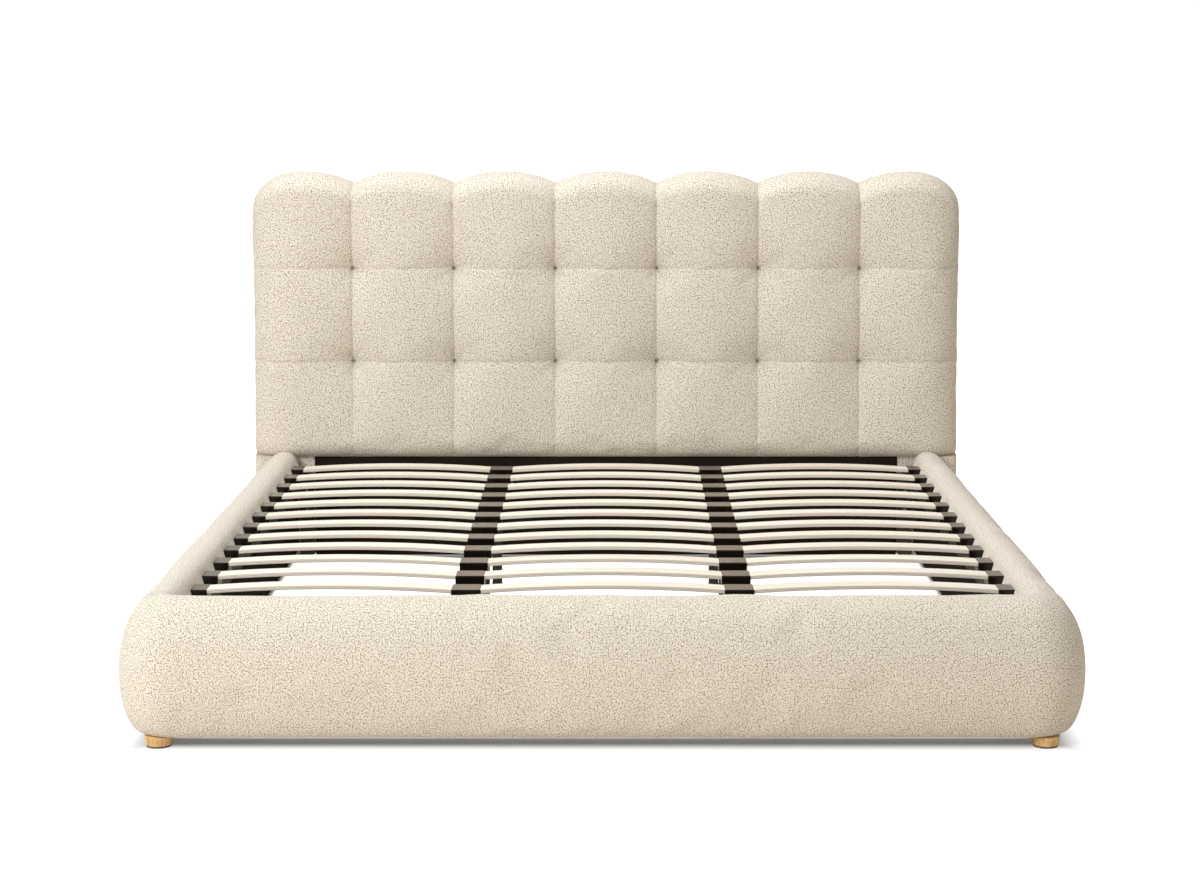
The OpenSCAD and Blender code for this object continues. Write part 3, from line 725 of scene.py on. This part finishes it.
# %% What holds the pad's cover, and the cloth between
STITCH = 0.002
TUFT_HOLD = 0.012
REAR_HOLD = 0.03
ROW_HOLD = 0.35
ROW_REACH = 0.07
PAD_PRESSURE, PAD_CAP = 0.9, 0.010
PAD_STRETCH = 1.22
seam_off = nearest_gap(whole_pad[..., 0], seams_x)
row_off = nearest_gap(whole_pad[..., 2], TUFT_ROWS)
near_seam = 1.0 - np.clip(seam_off / ROW_REACH, 0.0, 1.0)
held = np.zeros(whole_pad.shape[:2])
held[seam_off < STITCH] = 1.0
held = np.maximum(held, (row_off < STITCH) * (ROW_HOLD + (1.0 - ROW_HOLD) * near_seam))
held[(seam_off < TUFT_HOLD) & (row_off < TUFT_HOLD)] = 1.0
held[whole_pad[..., 2] < pad_base + TUFT_HOLD] = 1.0
held[whole_pad[..., 1] > back_y - REAR_HOLD] = 1.0
rows_below = len(floor_rows)
pad_rows, pad_columns = whole_pad.shape[:2]
window = (rows_below, pad_rows - 2, 2, pad_columns - 2)
settled_pad = settle(whole_pad, held, PAD_PRESSURE, PAD_CAP, window)
middle_x = (whole_pad[:-1, :-1, 0] + whole_pad[1:, 1:, 0]) / 2
keep_pad = np.ones(middle_x.shape, dtype=bool)
keep_pad[:rows_below - 1] = np.abs(middle_x[:rows_below - 1]) > panel_half


def painted_fold_shade(x, _y, z):
    """Painted shade deep in a tuft: near 1 at its bottom, with a faint wider spread round it."""
    reach = min(math.hypot(x - seam, z - row) for seam in seams_x for row in TUFT_ROWS)
    return 0.92 * math.exp(-(reach / 0.0060) ** 2) + 0.16 * math.exp(-(reach / 0.024) ** 2)


def painted_shade_inside_bed(x, _y, z):
    """1 on the part of the cover that goes down inside the bed, which is painted dark as painted shade."""
    return 1.0 if z < LEDGE_TOP and abs(x) < well_half else 0.0


# The cover's colour carries painted shade, deep in each tuft and on its end inside the bed.
head_pad = sheet_piece("head_pad", settled_pad, BOUCLE, keep=keep_pad,
                       marks={"fold_shade": painted_fold_shade, "tail_shade": painted_shade_inside_bed}, stretch=PAD_STRETCH)
print("head pad:", len(head_pad.data.polygons), "faces")

# %% [markdown]
# ## Padded rails
# A rail is a box beam with foam on its outside and over its crest. Its section bulges like a loaf, and
# the same section goes round both corners of the foot end, so the cover has no edge there. One outline
# is swept along the side rails, and along the foot rail with a quarter turn at each end.


# %% Section of a rail
def ellipse_part(cx, cy, rx, ry, start, end, steps=48):
    angles = np.radians(np.linspace(start, end, steps))
    return np.stack([cx + rx * np.cos(angles), cy + ry * np.sin(angles)], axis=1)


def rail_section(pitch=0.010):
    """Points (distance from the inner face, height) round the cover, evenly spaced."""
    parts = [
        np.array([[0.0, LEDGE_TOP - 0.02]]),
        ellipse_part(ROLL_R, rail_top - ROLL_R, ROLL_R, ROLL_R, 180, 90),
        ellipse_part(ROLL_R, WAIST_Z, rail_thick - ROLL_R, rail_top - WAIST_Z, 90, 0),
        ellipse_part(HEEL, WAIST_Z, rail_thick - HEEL, WAIST_Z - rail_base, 0, -90),
        np.array([[0.0, rail_base]]),
    ]
    line = np.concatenate(parts)
    steps = np.linalg.norm(np.diff(line, axis=0), axis=1)
    along = np.concatenate([[0.0], np.cumsum(steps)])
    even = np.linspace(0.0, along[-1], int(along[-1] / pitch) + 1)
    return np.stack([np.interp(even, along, line[:, k]) for k in (0, 1)], axis=1)


section = rail_section()
print("rail section:", len(section), "points")


# %% Sweep the section along a rail
def stations_side(pitch=0.014):
    """Places along the right side rail: a point on the inner face and the outward direction."""
    count = int((lower_y - foot_y) / pitch)
    return [((well_half, y), (1.0, 0.0)) for y in np.linspace(lower_y, foot_y, count)]


def stations_foot(pitch=0.014, turn_steps=18):
    """Places along the foot rail and its two corners, from the right end to the left."""
    turns = np.radians(np.linspace(0, 90, turn_steps))
    right = [((well_half, foot_y), (math.cos(t), -math.sin(t))) for t in turns]
    count = int(2 * well_half / pitch)
    middle = [((x, foot_y), (0.0, -1.0)) for x in np.linspace(well_half, -well_half, count)[1:-1]]
    left = [((-well_half, foot_y), (-math.cos(t), -math.sin(t))) for t in turns[::-1]]
    return right + middle + left


def sweep(stations):
    rows = []
    for (px, py), (nx, ny) in stations:
        rows.append([(px + nx * out, py + ny * out, z) for out, z in section])
    return np.array(rows)


def soften(grid):
    """Foam is never quite even: small lumps along the cover's own outward direction."""
    flat = grid.reshape(-1, 3)
    lumps = wander(flat, 0.22, 4) * 0.0020 + wander(flat, 0.06, 5) * 0.0008
    middle_z = (rail_top + rail_base) / 2
    away_x = flat[:, 0] - np.clip(flat[:, 0], -well_half, well_half)
    away_y = flat[:, 1] - np.clip(flat[:, 1], foot_y, 10.0)
    away_z = (flat[:, 2] - middle_z) * 0.5
    out = np.stack([away_x, away_y, away_z], axis=1)
    out /= np.maximum(np.linalg.norm(out, axis=1, keepdims=True), 1e-6)
    keep = np.clip((flat[:, 2] - rail_base) / 0.03, 0, 1)
    return (flat + out * (lumps * keep)[:, None]).reshape(grid.shape)


INNER_HELD = 3
UNDER_HELD = 10
RUFFLE = 0.0150
RUFFLE_POINTS = 14
RAIL_PRESSURE, RAIL_CAP = 0.10, 0.0028


def holders_of(grid):
    """Weights that hold a rail's cover at its two stapled edges."""
    weights = np.zeros(grid.shape[:2])
    weights[:, :INNER_HELD] = 1.0
    weights[:, -UNDER_HELD:] = 1.0
    return weights


def ruffle(grid, along):
    """The stapled inner edge: the cover bulges a little into the well between two slat holders."""
    height = (grid[..., 2] - LEDGE_TOP) / (rail_top - ROLL_R - LEDGE_TOP)
    near_edge = np.exp(-((height - 0.15) / 0.62) ** 2)
    wave = 0.5 - 0.5 * np.cos((grid[..., along] - slat_first) / slat_pitch * 2 * math.pi)
    inner = np.arange(grid.shape[1]) < RUFFLE_POINTS
    return near_edge * wave ** 0.7 * inner * RUFFLE


def settled_rail(points):
    """A rail's cover after its cloth has swelled between the stapled edges."""
    window = (0, len(points), inner_rim, outer_rim)
    return settle(points, holders_of(points), RAIL_PRESSURE, RAIL_CAP, window, flip=True)


# %% Side rails and foot rail
slat_low, slat_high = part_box("slats_middle")
slat_first = slat_low[1] + SLAT_WIDE / 2
slat_pitch = (slat_high[1] - slat_low[1] - SLAT_WIDE) / (SLAT_ROWS - 1)
side_points = soften(sweep(stations_side()))
side_points[..., 0] -= ruffle(side_points, 1)
inner_rim = int(np.argmax(section[:, 0] > 0.004))
outer_rim = len(section) - 3
side_points = settled_rail(side_points)
rail_right = sheet_piece("rail_pad_right", side_points, BOUCLE, flip=True)
rail_left = sheet_piece("rail_pad_left", side_points * np.array([-1.0, 1.0, 1.0]), BOUCLE)
foot_points = settled_rail(soften(sweep(stations_foot())))
foot_pad = sheet_piece("foot_pad", foot_points, BOUCLE, flip=True)
print("rail faces:", len(rail_right.data.polygons), "foot rail faces:", len(foot_pad.data.polygons))

# %% One subdivision on every pad
for pad in (head_pad, rail_left, rail_right, foot_pad):
    smooth = pad.modifiers.new("smooth", "SUBSURF")
    smooth.levels = 1
    smooth.render_levels = 1

# %% [markdown]
# ## Geometry Nodes for what repeats
# Twelve slats lie in each column, and each end sits in a moulded holder. They differ only in their
# place, so one tree makes one slat and another puts a form on every row. Sizes are named inputs of the
# tree, so a change of pitch or crown is one number. Instances are realized at the end and turned into a
# plain mesh.


# %% Shape: a Geometry Nodes tree under construction
class Shape(Nodes):
    """A tree that makes one piece from named sizes."""

    def __init__(self, name, **sizes):
        super().__init__(bpy.data.node_groups.new(name, "GeometryNodeTree"))
        self.name = name
        self.given = []
        face = self.tree.interface
        face.new_socket("Geometry", in_out="OUTPUT", socket_type="NodeSocketGeometry")
        kinds = {int: "NodeSocketInt", float: "NodeSocketFloat", bpy.types.Object: "NodeSocketObject"}
        for label, value in sizes.items():
            socket = face.new_socket(label, in_out="INPUT", socket_type=kinds[type(value)])
            self.given.append((socket.identifier, value))
        self.entry = self.tree.nodes.new("NodeGroupInput")

    def size(self, label):
        return Wire(self, self.entry.outputs[label])

    def spot(self, x=0.0, y=0.0, z=0.0):
        return self.add("ShaderNodeCombineXYZ", None, {0: x, 1: y, 2: z})

    def keep(self, geometry, label, value, domain="POINT"):
        """Stores a value on the geometry under a name, for its finish to read."""
        settings = {"data_type": "FLOAT", "domain": domain}
        return self.add("GeometryNodeStoreNamedAttribute", settings,
                        {"Geometry": geometry, "Name": label, "Value": value})

    def on_rows(self, form, x=0.0, z=0.0):
        """A copy of form on each of the slats' rows."""
        places = {"Count": self.size("rows"), "Start Location": self.spot(x, self.size("first"), z),
                  "Offset": self.spot(0.0, self.size("pitch"))}
        rows = self.add("GeometryNodeMeshLine", None, places)
        return self.add("GeometryNodeInstanceOnPoints", None, {"Points": rows, "Instance": form})

    def piece(self, geometry, material):
        """The finished geometry as a plain mesh object."""
        real = self.add("GeometryNodeRealizeInstances", None, {"Geometry": geometry})
        done = self.add("GeometryNodeSetMaterial", None, {"Geometry": real, "Material": material})
        self.put(self.tree.nodes.new("NodeGroupOutput").inputs[0], done)
        host = in_scene(self.name, bpy.data.meshes.new(self.name))
        modifier = host.modifiers.new("shape", "NODES")
        modifier.node_group = self.tree
        for identifier, value in self.given:
            modifier[identifier] = value
        solved = host.evaluated_get(bpy.context.evaluated_depsgraph_get())
        mesh = bpy.data.meshes.new_from_object(solved)
        host.modifiers.remove(modifier)
        host.data = mesh
        mesh.name = self.name
        print(self.name, len(mesh.polygons), "faces")
        return host


def finished(piece, slot, *nodes):
    """Says where a piece rides and which plain solids it stands for, and hides them; slot, the name of its
    finish, is not used.
    """
    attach(piece, BODY)
    if nodes:
        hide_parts(*nodes)


# %% [markdown]
# ## Sprung slats
# A slat is several layers of birch veneer, glued and pressed to a slight bow, with its long edges
# eased. Its section is a filleted rectangle swept along the bow. The section's own height goes with it
# as a value called layer, because the glue lines on the edge follow the bow and a pattern on plain
# coordinates would not.

# %% Birch finish
BIRCH = (0.880, 0.835, 0.745)
BIRCH_DARK = (0.770, 0.690, 0.570)
GLUE = (0.260, 0.165, 0.090)


def birch():
    wood = Finish("birch", coat_weight=0.15)
    place = wood.place((1.6, 70.0, 70.0))
    grain = wood.noise(place, 1.0, 4.0, 0.6, 0.6)
    pores = wood.noise(wood.place((9.0, 520.0, 520.0)), 1.0, 2.0, 0.6)
    tone = wood.stored("tone")
    face = wood.ramp(grain * 0.65 + pores * 0.25 + tone * 0.12, [(0.30, BIRCH_DARK), (0.56, BIRCH)])
    stops = [(0.04, GLUE), (0.12, BIRCH_DARK)]
    for middle in (0.42, 0.74):
        stops += [(middle - 0.08, BIRCH), (middle, GLUE), (middle + 0.08, BIRCH)]
    edge = wood.ramp(wood.stored("layer"), stops)
    wood.colour(wood.mix(wood.stored("on_edge"), face, wood.mix(0.08, edge, face)))
    wood.rough(pores, 0.38, 0.52)
    wood.bump(pores * 0.6 + grain * 0.4, 0.25, 0.0006)
    return wood.material


BIRCH_WOOD = birch()

# %% One tree for a column of slats
SLAT_STEPS = 33
SLAT_EASE = 0.0014
slat_span = slat_high[0] - slat_low[0]


def slat_column(name, middle_x, seed):
    tree = Shape(name, rows=SLAT_ROWS, pitch=slat_pitch, first=slat_first, middle=middle_x,
                 length=slat_span, width=SLAT_WIDE, thickness=SLAT_THICK, crown=SLAT_CROWN,
                 end_height=DECK_Z, ease=SLAT_EASE, seed=seed)
    half = tree.size("length") * 0.5
    line = tree.add("GeometryNodeCurvePrimitiveLine", None,
                    {"Start": tree.spot(0.0 - half), "End": tree.spot(half)})
    line = tree.add("GeometryNodeResampleCurve", None, {"Curve": line, "Count": SLAT_STEPS})
    along, _, _ = tree.parts(tree.add("GeometryNodeInputPosition"))
    share = along / half
    bow = tree.size("crown") * (1.0 - share * share)
    line = tree.add("GeometryNodeSetPosition", None, {"Geometry": line, "Offset": tree.spot(0.0, 0.0, bow)})
    line = tree.add("GeometryNodeSetCurveNormal", {"mode": "Z_UP"}, {"Curve": line})
    section = tree.add("GeometryNodeCurvePrimitiveQuadrilateral", None,
                       {"Width": tree.size("width"), "Height": tree.size("thickness")})
    section = tree.add("GeometryNodeFilletCurve", {"mode": "POLY"},
                       {"Curve": section, "Count": 3, "Radius": tree.size("ease")})
    sideways, up, _ = tree.parts(tree.add("GeometryNodeInputPosition"))
    section = tree.keep(section, "layer", up / tree.size("thickness") + 0.5)
    rim = tree.math("ABSOLUTE", sideways) - tree.size("width") * 0.5 + tree.size("ease") * 0.6
    section = tree.keep(section, "on_edge", tree.math("GREATER_THAN", rim, 0.0))
    slat = tree.add("GeometryNodeCurveToMesh", None,
                    {"Curve": line, "Profile Curve": section, "Fill Caps": True})
    slat = tree.add("GeometryNodeSetShadeSmooth", None, {"Geometry": slat, "Shade Smooth": False})
    middle_height = tree.size("end_height") - tree.size("thickness") * 0.5
    slats = tree.on_rows(slat, tree.size("middle"), middle_height)
    chance = tree.add("FunctionNodeRandomValue", {"data_type": "FLOAT"}, {8: tree.size("seed")}, output=1)
    slats = tree.keep(slats, "tone", chance, "INSTANCE")
    return tree.piece(slats, BIRCH_WOOD)


DECK_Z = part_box("side_holders_left")[1][2] - 0.003
for seed, side in enumerate(("left", "middle", "right")):
    low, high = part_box("slats_" + side)
    column = slat_column("slat_column_" + side, (low[0] + high[0]) / 2, seed)
    finished(column, "birch", "slats_" + side)

# %% [markdown]
# ## Slat holders
# The holders are moulded in a tough dark plastic. Their tops are smooth and catch the light of the room
# at a low angle, while their fronts stay almost black. Every edge has the small radius of a mould, and
# each mouth is a real pocket round the slat's end. One form is built and a tree sets it on
# every row.

# %% Plastic finish
def plastic():
    skin = Finish("moulded_plastic", specular_ior_level=0.35)
    broad = skin.noise(skin.place(), 9.0, 2.0)
    # Painted sheen: the flat tops get a lighter brown, for the room's light glancing off them, while the
    # other faces keep the plastic's near-black colour.
    sides = skin.ramp(broad, [(0.3, (0.006, 0.0035, 0.0025)), (0.7, (0.012, 0.007, 0.005))])
    top = skin.ramp(broad, [(0.3, (0.130, 0.102, 0.078)), (0.7, (0.160, 0.128, 0.100))])
    skin.colour(skin.mix(skin.stored("painted_top_sheen"), sides, top))
    fine = skin.noise(skin.place(), 900.0, 2.0, 0.6)
    skin.rough(fine, 0.14, 0.26)
    skin.bump(fine, 0.10, 0.0003)
    return skin.material


PLASTIC = plastic()

# %% One moulded holder, its mouths open for the slats
HOLDER_ROUND = 0.0032
MOUTH_PLAY = 0.0003
PEG_R = 0.004
PEG_LONG = 0.012
PEG_TAPER = 0.0008
MOUTH_LIP = 0.0004
MOUTH_ABOVE = 0.0014
MOUTH_BELOW = 0.0014


def moulded_holder(name, x0, x1, peg_x, mouth_sides):
    """A rounded block from x0 to x1 with a pocket in each side of mouth_sides, about row zero."""
    low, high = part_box("side_holders_left")
    top, foot = high[2], LEDGE_TOP
    half_long = (high[1] - low[1] - (SLAT_ROWS - 1) * slat_pitch) / 2
    form = bmesh.new()
    bmesh.ops.create_cube(form, size=1.0)
    middle = Vector(((x0 + x1) / 2, 0.0, (top + foot) / 2))
    whole = Vector((x1 - x0, 2 * half_long, top - foot))
    for v in form.verts:
        v.co = middle + v.co * whole
    bmesh.ops.bevel(form, geom=list(form.edges), offset=HOLDER_ROUND, segments=3, profile=0.5,
                    affect="EDGES")
    half_mouth = SLAT_WIDE / 2 + MOUTH_PLAY
    ceiling = DECK_Z + MOUTH_ABOVE
    sill = DECK_Z - SLAT_THICK - MOUTH_BELOW
    for side in mouth_sides:
        mouth = max(form.faces, key=lambda f: f.calc_center_median().x * side)
        bmesh.ops.inset_individual(form, faces=[mouth], thickness=MOUTH_LIP)
        middle = mouth.calc_center_median()
        for v in mouth.verts:
            v.co.y = math.copysign(half_mouth, v.co.y)
            v.co.z = ceiling if v.co.z > middle.z else sill
        pushed = bmesh.ops.extrude_discrete_faces(form, faces=[mouth])["faces"][0]
        bmesh.ops.translate(form, verts=list(pushed.verts), vec=(-side * SLAT_GRIP, 0.0, 0.0))
    peg = bmesh.ops.create_cone(form, cap_ends=True, segments=24, radius1=PEG_R - PEG_TAPER,
                                radius2=PEG_R, depth=PEG_LONG)
    bmesh.ops.translate(form, verts=peg["verts"], vec=(peg_x, 0.0, foot - PEG_LONG / 2))
    mesh = mesh_from(form, name)
    # The flat tops are marked for the plastic's painted sheen.
    painted_top_sheen = mesh.attributes.new("painted_top_sheen", "FLOAT", "FACE")
    flat_tops = [face.normal.z > 0.9 and face.center.z > top - 0.001 for face in mesh.polygons]
    painted_top_sheen.data.foreach_set("value", [float(flat) for flat in flat_tops])
    return in_scene(name, mesh)


# %% A tree that sets a form on every row
def row_of(name, form, material):
    tree = Shape(name, form=form, rows=SLAT_ROWS, pitch=slat_pitch, first=slat_first)
    model = tree.add("GeometryNodeObjectInfo", None, {"Object": tree.size("form")}, output="Geometry")
    made = tree.piece(tree.on_rows(model), material)
    discard(form)
    return made


ledge_middle = sum(v[0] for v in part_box("slat_ledge_right")) / 2
for side, sign in (("left", -1), ("right", 1)):
    low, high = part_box("side_holders_" + side)
    form = moulded_holder("one_side_holder", low[0], high[0], sign * ledge_middle, [-sign])
    finished(row_of("side_holder_row_" + side, form, PLASTIC), "dark_plastic", "side_holders_" + side)
    low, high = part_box("double_holders_" + side)
    form = moulded_holder("one_double_holder", low[0], high[0], (low[0] + high[0]) / 2, [-1, 1])
    finished(row_of("double_holder_row_" + side, form, PLASTIC), "dark_plastic", "double_holders_" + side)

# %% [markdown]
# ## Turned oak feet
# The two feet at the foot end are short tapered discs, turned on a lathe. A profile spun round an axis
# is just what a lathe does. The lower edge is rounded over, and the end grain of the rim shows as fine
# upright lines.

# %% Oak finish
def oak():
    wood = Finish("oak", coat_weight=0.2, coat_roughness=0.3)
    rays = wood.noise(wood.place((160.0, 160.0, 14.0)), 1.0, 4.0, 0.65, 0.8)
    rings = wood.noise(wood.place((38.0, 38.0, 6.0)), 1.0, 2.0, 0.5, 1.6)
    tones = [(0.34, (0.430, 0.235, 0.085)), (0.50, (0.690, 0.440, 0.195)), (0.66, (0.800, 0.560, 0.290))]
    wood.colour(wood.ramp(rays * 0.6 + rings * 0.4, tones))
    wood.rough(rays, 0.36, 0.55)
    wood.bump(rays, 0.35, 0.0008)
    return wood.material


OAK = oak()

# %% Spin the feet
FOOT_ROUND = 0.0035
FOOT_STEPS = 72
FOOT_TAPER = 0.003
FOOT_BREAK = 0.0012


def turned_foot(name, node):
    low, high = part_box(node)
    middle = Vector(((low[0] + high[0]) / 2, (low[1] + high[1]) / 2, 0.0))
    top_r = (high[0] - low[0]) / 2
    low_r = top_r - FOOT_TAPER
    tall = high[2] - low[2] - FOOT_ROUND
    outline = [(0.0, low[2])]
    for t in [math.radians(a) for a in range(0, 91, 15)]:
        outline.append((low_r - FOOT_ROUND * (1 - math.sin(t)), low[2] + FOOT_ROUND * (1 - math.cos(t))))
    for share in (0.33, 0.66, 0.93):
        outline.append((low_r + FOOT_TAPER * share, low[2] + FOOT_ROUND + tall * share))
    outline += [(top_r - FOOT_BREAK, high[2]), (0.0, high[2])]
    form = bmesh.new()
    line = [form.verts.new(middle + Vector((r, 0.0, z))) for r, z in outline]
    for a, b in zip(line[:-1], line[1:]):
        form.edges.new((a, b))
    bmesh.ops.spin(form, geom=form.verts[:] + form.edges[:], cent=middle, axis=(0.0, 0.0, 1.0),
                   angle=2 * math.pi, steps=FOOT_STEPS, use_merge=True)
    bmesh.ops.remove_doubles(form, verts=form.verts[:], dist=1e-6)
    bmesh.ops.recalc_face_normals(form, faces=form.faces[:])
    mesh = mesh_from(form, name)
    mesh.shade_smooth()
    mesh.materials.append(OAK)
    return in_scene(name, mesh)


for side in ("left", "right"):
    finished(turned_foot("turned_foot_" + side, "wooden_foot_" + side), "oak", "wooden_foot_" + side)
print("two turned feet")

# %% [markdown]
# ## Staples of the back lining
# The lining on the back of the headboard is stapled through its turned edge every few centimetres. A
# staple is a bent wire, so one is swept from a short line with rounded ends, and a tree sets it along
# the lining's own outline, turned to follow it. Each one has only a few dozen faces, because there are
# many of them.

# %% Zinc finish
def zinc():
    metal = Finish("zinc", metallic=1.0)
    brushed = metal.noise(metal.place((40.0, 900.0, 300.0)), 1.0, 3.0, 0.6)
    metal.tones(brushed, 0.3, (0.48, 0.48, 0.49), 0.7, (0.74, 0.74, 0.75))
    metal.rough(brushed, 0.28, 0.45)
    return metal.material


ZINC = zinc()

# %% Staples along the outline
STAPLE_GAP = 0.042
STAPLE_IN = 0.014
STAPLE_LONG = 0.010
STAPLE_WIRE = 0.0006
STAPLE_HIGH = 0.0024
STAPLE_BEND = 0.0008
lining_low, lining_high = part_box("head_back_lining")


def back_outline():
    """The lining's edge, moved in: up the left side, over the channels and down the right side."""
    edge = lining_high[0] - STAPLE_IN
    tops = np.linspace(-edge, edge, 281)
    over = [(x, back_y, top_line(x * head_half / edge) - STAPLE_IN - HEM) for x in tops]
    start = [(-edge, back_y, lining_low[2] + STAPLE_IN)]
    return start + over + [(edge, back_y, lining_low[2] + STAPLE_IN)] + start


def staples():
    path_data = bpy.data.curves.new("staple_path", "CURVE")
    path_data.dimensions = "3D"
    spline = path_data.splines.new("POLY")
    points = back_outline()
    spline.points.add(len(points) - 1)
    for point, co in zip(spline.points, points):
        point.co = (*co, 1.0)
    path = in_scene("staple_path", path_data)
    tree = Shape("lining_staples", path=path, gap=STAPLE_GAP, length=STAPLE_LONG, wire=STAPLE_WIRE)
    route = tree.add("GeometryNodeObjectInfo", None, {"Object": tree.size("path")}, output="Geometry")
    marks = tree.add("GeometryNodeCurveToPoints", {"mode": "LENGTH"},
                     {"Curve": route, "Length": tree.size("gap")})
    lie = tree.add("FunctionNodeAlignRotationToVector", {"axis": "X"}, {"Vector": marks.beside("Tangent")})
    crown = tree.add("GeometryNodeCurvePrimitiveQuadrilateral", None,
                     {"Width": tree.size("length"), "Height": STAPLE_HIGH})
    crown = tree.add("GeometryNodeFilletCurve", {"mode": "POLY"},
                     {"Curve": crown, "Count": 2, "Radius": STAPLE_BEND})
    ring = tree.add("GeometryNodeCurvePrimitiveCircle", None, {"Resolution": 5, "Radius": tree.size("wire")})
    staple = tree.add("GeometryNodeCurveToMesh", None, {"Curve": crown, "Profile Curve": ring})
    laid = tree.add("GeometryNodeInstanceOnPoints", None,
                    {"Points": marks, "Instance": staple, "Rotation": lie})
    made = tree.piece(laid, ZINC)
    bpy.data.objects.remove(path)
    bpy.data.curves.remove(path_data)
    return made


finished(staples(), "zinc_steel")

# %% [markdown]
# ## Finishes for the frame's own solids
# Everything else keeps its exact shape from the frame and only needs a finish: sawn pine, plywood with
# its layers, brown lining cloth, dark board, enamelled steel, bright screws, foam, twine and felt. Each
# is a short sum of noises at the size of the real grain, weave or speckle.

# %% Woods, boards and cloths of the frame
def sawn_wood(name, dark, light, scale, rough):
    wood = Finish(name)
    grain = wood.noise(wood.place(scale), 1.0, 4.0, 0.6, 0.9)
    fibre = wood.noise(wood.place(tuple(v * 9.0 for v in scale)), 1.0, 2.0, 0.6)
    wood.tones(grain * 0.75 + fibre * 0.25, 0.32, dark, 0.66, light)
    wood.rough(fibre, rough, rough + 0.15)
    wood.bump(fibre, 0.3, 0.0008)
    return wood.material


def cloth(name, dark, light, pitch, depth, rough=0.9):
    """A plain or felted cloth: crossed threads at pitch, broken up by fibres."""
    weave = Finish(name, roughness=rough, specular_ior_level=0.15)
    spot = weave.place((1 / pitch,) * 3)
    cells = weave.add("ShaderNodeTexVoronoi", None, {"Vector": spot, "Scale": 1.0})
    fibre = weave.noise(spot, 2.6, 3.0, 0.65)
    height = (1.0 - cells) * 0.5 + fibre * 0.5
    weave.tones(height, 0.35, dark, 0.75, light)
    weave.bump(height, 0.5, depth)
    return weave.material


def enamel(name, dark, light, rough):
    paint = Finish(name, coat_weight=0.2, coat_roughness=0.3)
    peel = paint.noise(paint.place(), 420.0, 2.0, 0.5)
    broad = paint.noise(paint.place(), 12.0, 2.0)
    paint.tones(broad, 0.35, dark, 0.65, light)
    paint.rough(peel, rough, rough + 0.12)
    paint.bump(peel, 0.2, 0.0003)
    return paint.material


# Colours from dark to light, then the stretch of the grain and the roughness.
SAWN = {
    "pine": ((0.52, 0.36, 0.19), (0.74, 0.58, 0.37), (3.0, 40.0, 40.0), 0.62),
    "plywood": ((0.50, 0.37, 0.22), (0.70, 0.56, 0.37), (2.2, 60.0, 9.0), 0.60),
    "stained_pine": ((0.010, 0.007, 0.005), (0.024, 0.016, 0.012), (40.0, 3.0, 40.0), 0.5),
}
# Colours, then the pitch of the threads and the depth of the weave in metres.
WOVEN = {
    "dark_lining": ((0.005, 0.003, 0.002), (0.020, 0.011, 0.008), 0.0016, 0.0008),
    "dark_panel": ((0.010, 0.005, 0.003), (0.026, 0.014, 0.009), 0.0012, 0.0005, 0.8),
    "foam": ((0.70, 0.62, 0.40), (0.88, 0.82, 0.62), 0.0022, 0.0015),
    "twine": ((0.40, 0.32, 0.20), (0.72, 0.64, 0.48), 0.0010, 0.0008),
    "felt": ((0.06, 0.05, 0.045), (0.15, 0.13, 0.12), 0.0018, 0.0010),
}
ENAMELLED = {
    "dark_steel": ((0.011, 0.008, 0.007), (0.020, 0.015, 0.013), 0.34),
    "leveller_steel": ((0.012, 0.010, 0.009), (0.024, 0.020, 0.018), 0.42),
}
FINISHES = {"zinc_steel": ZINC, "dark_plastic": PLASTIC, "boucle": BOUCLE_SHADED, "birch": BIRCH_WOOD,
            "oak": OAK}
for make, looks in ((sawn_wood, SAWN), (cloth, WOVEN), (enamel, ENAMELLED)):
    FINISHES.update({name: make(name, *look) for name, look in looks.items()})

# %% Give each solid its finish
for row in frame["record"]["subparts"]:
    node = frame["nodes"][row["node"]]
    finish = FINISHES[row["material_slot"]]
    if not node.material_slots:
        node.data.materials.append(finish)
    for place in node.material_slots:
        place.material = finish
print(len(FINISHES), "finishes on", len(frame["nodes"]), "solids")

# %% The pads stand for the plain solids
PADS = [
    (head_pad, 0.85, ("head_cover", "head_foam")),
    (rail_left, 0.9, ("rail_cover_left", "rail_foam_left")),
    (rail_right, 0.9, ("rail_cover_right", "rail_foam_right")),
    (foot_pad, 0.9, ("foot_cover", "foot_foam")),
]
for pad, fill, solids in PADS:
    finished(pad, "boucle", *solids)
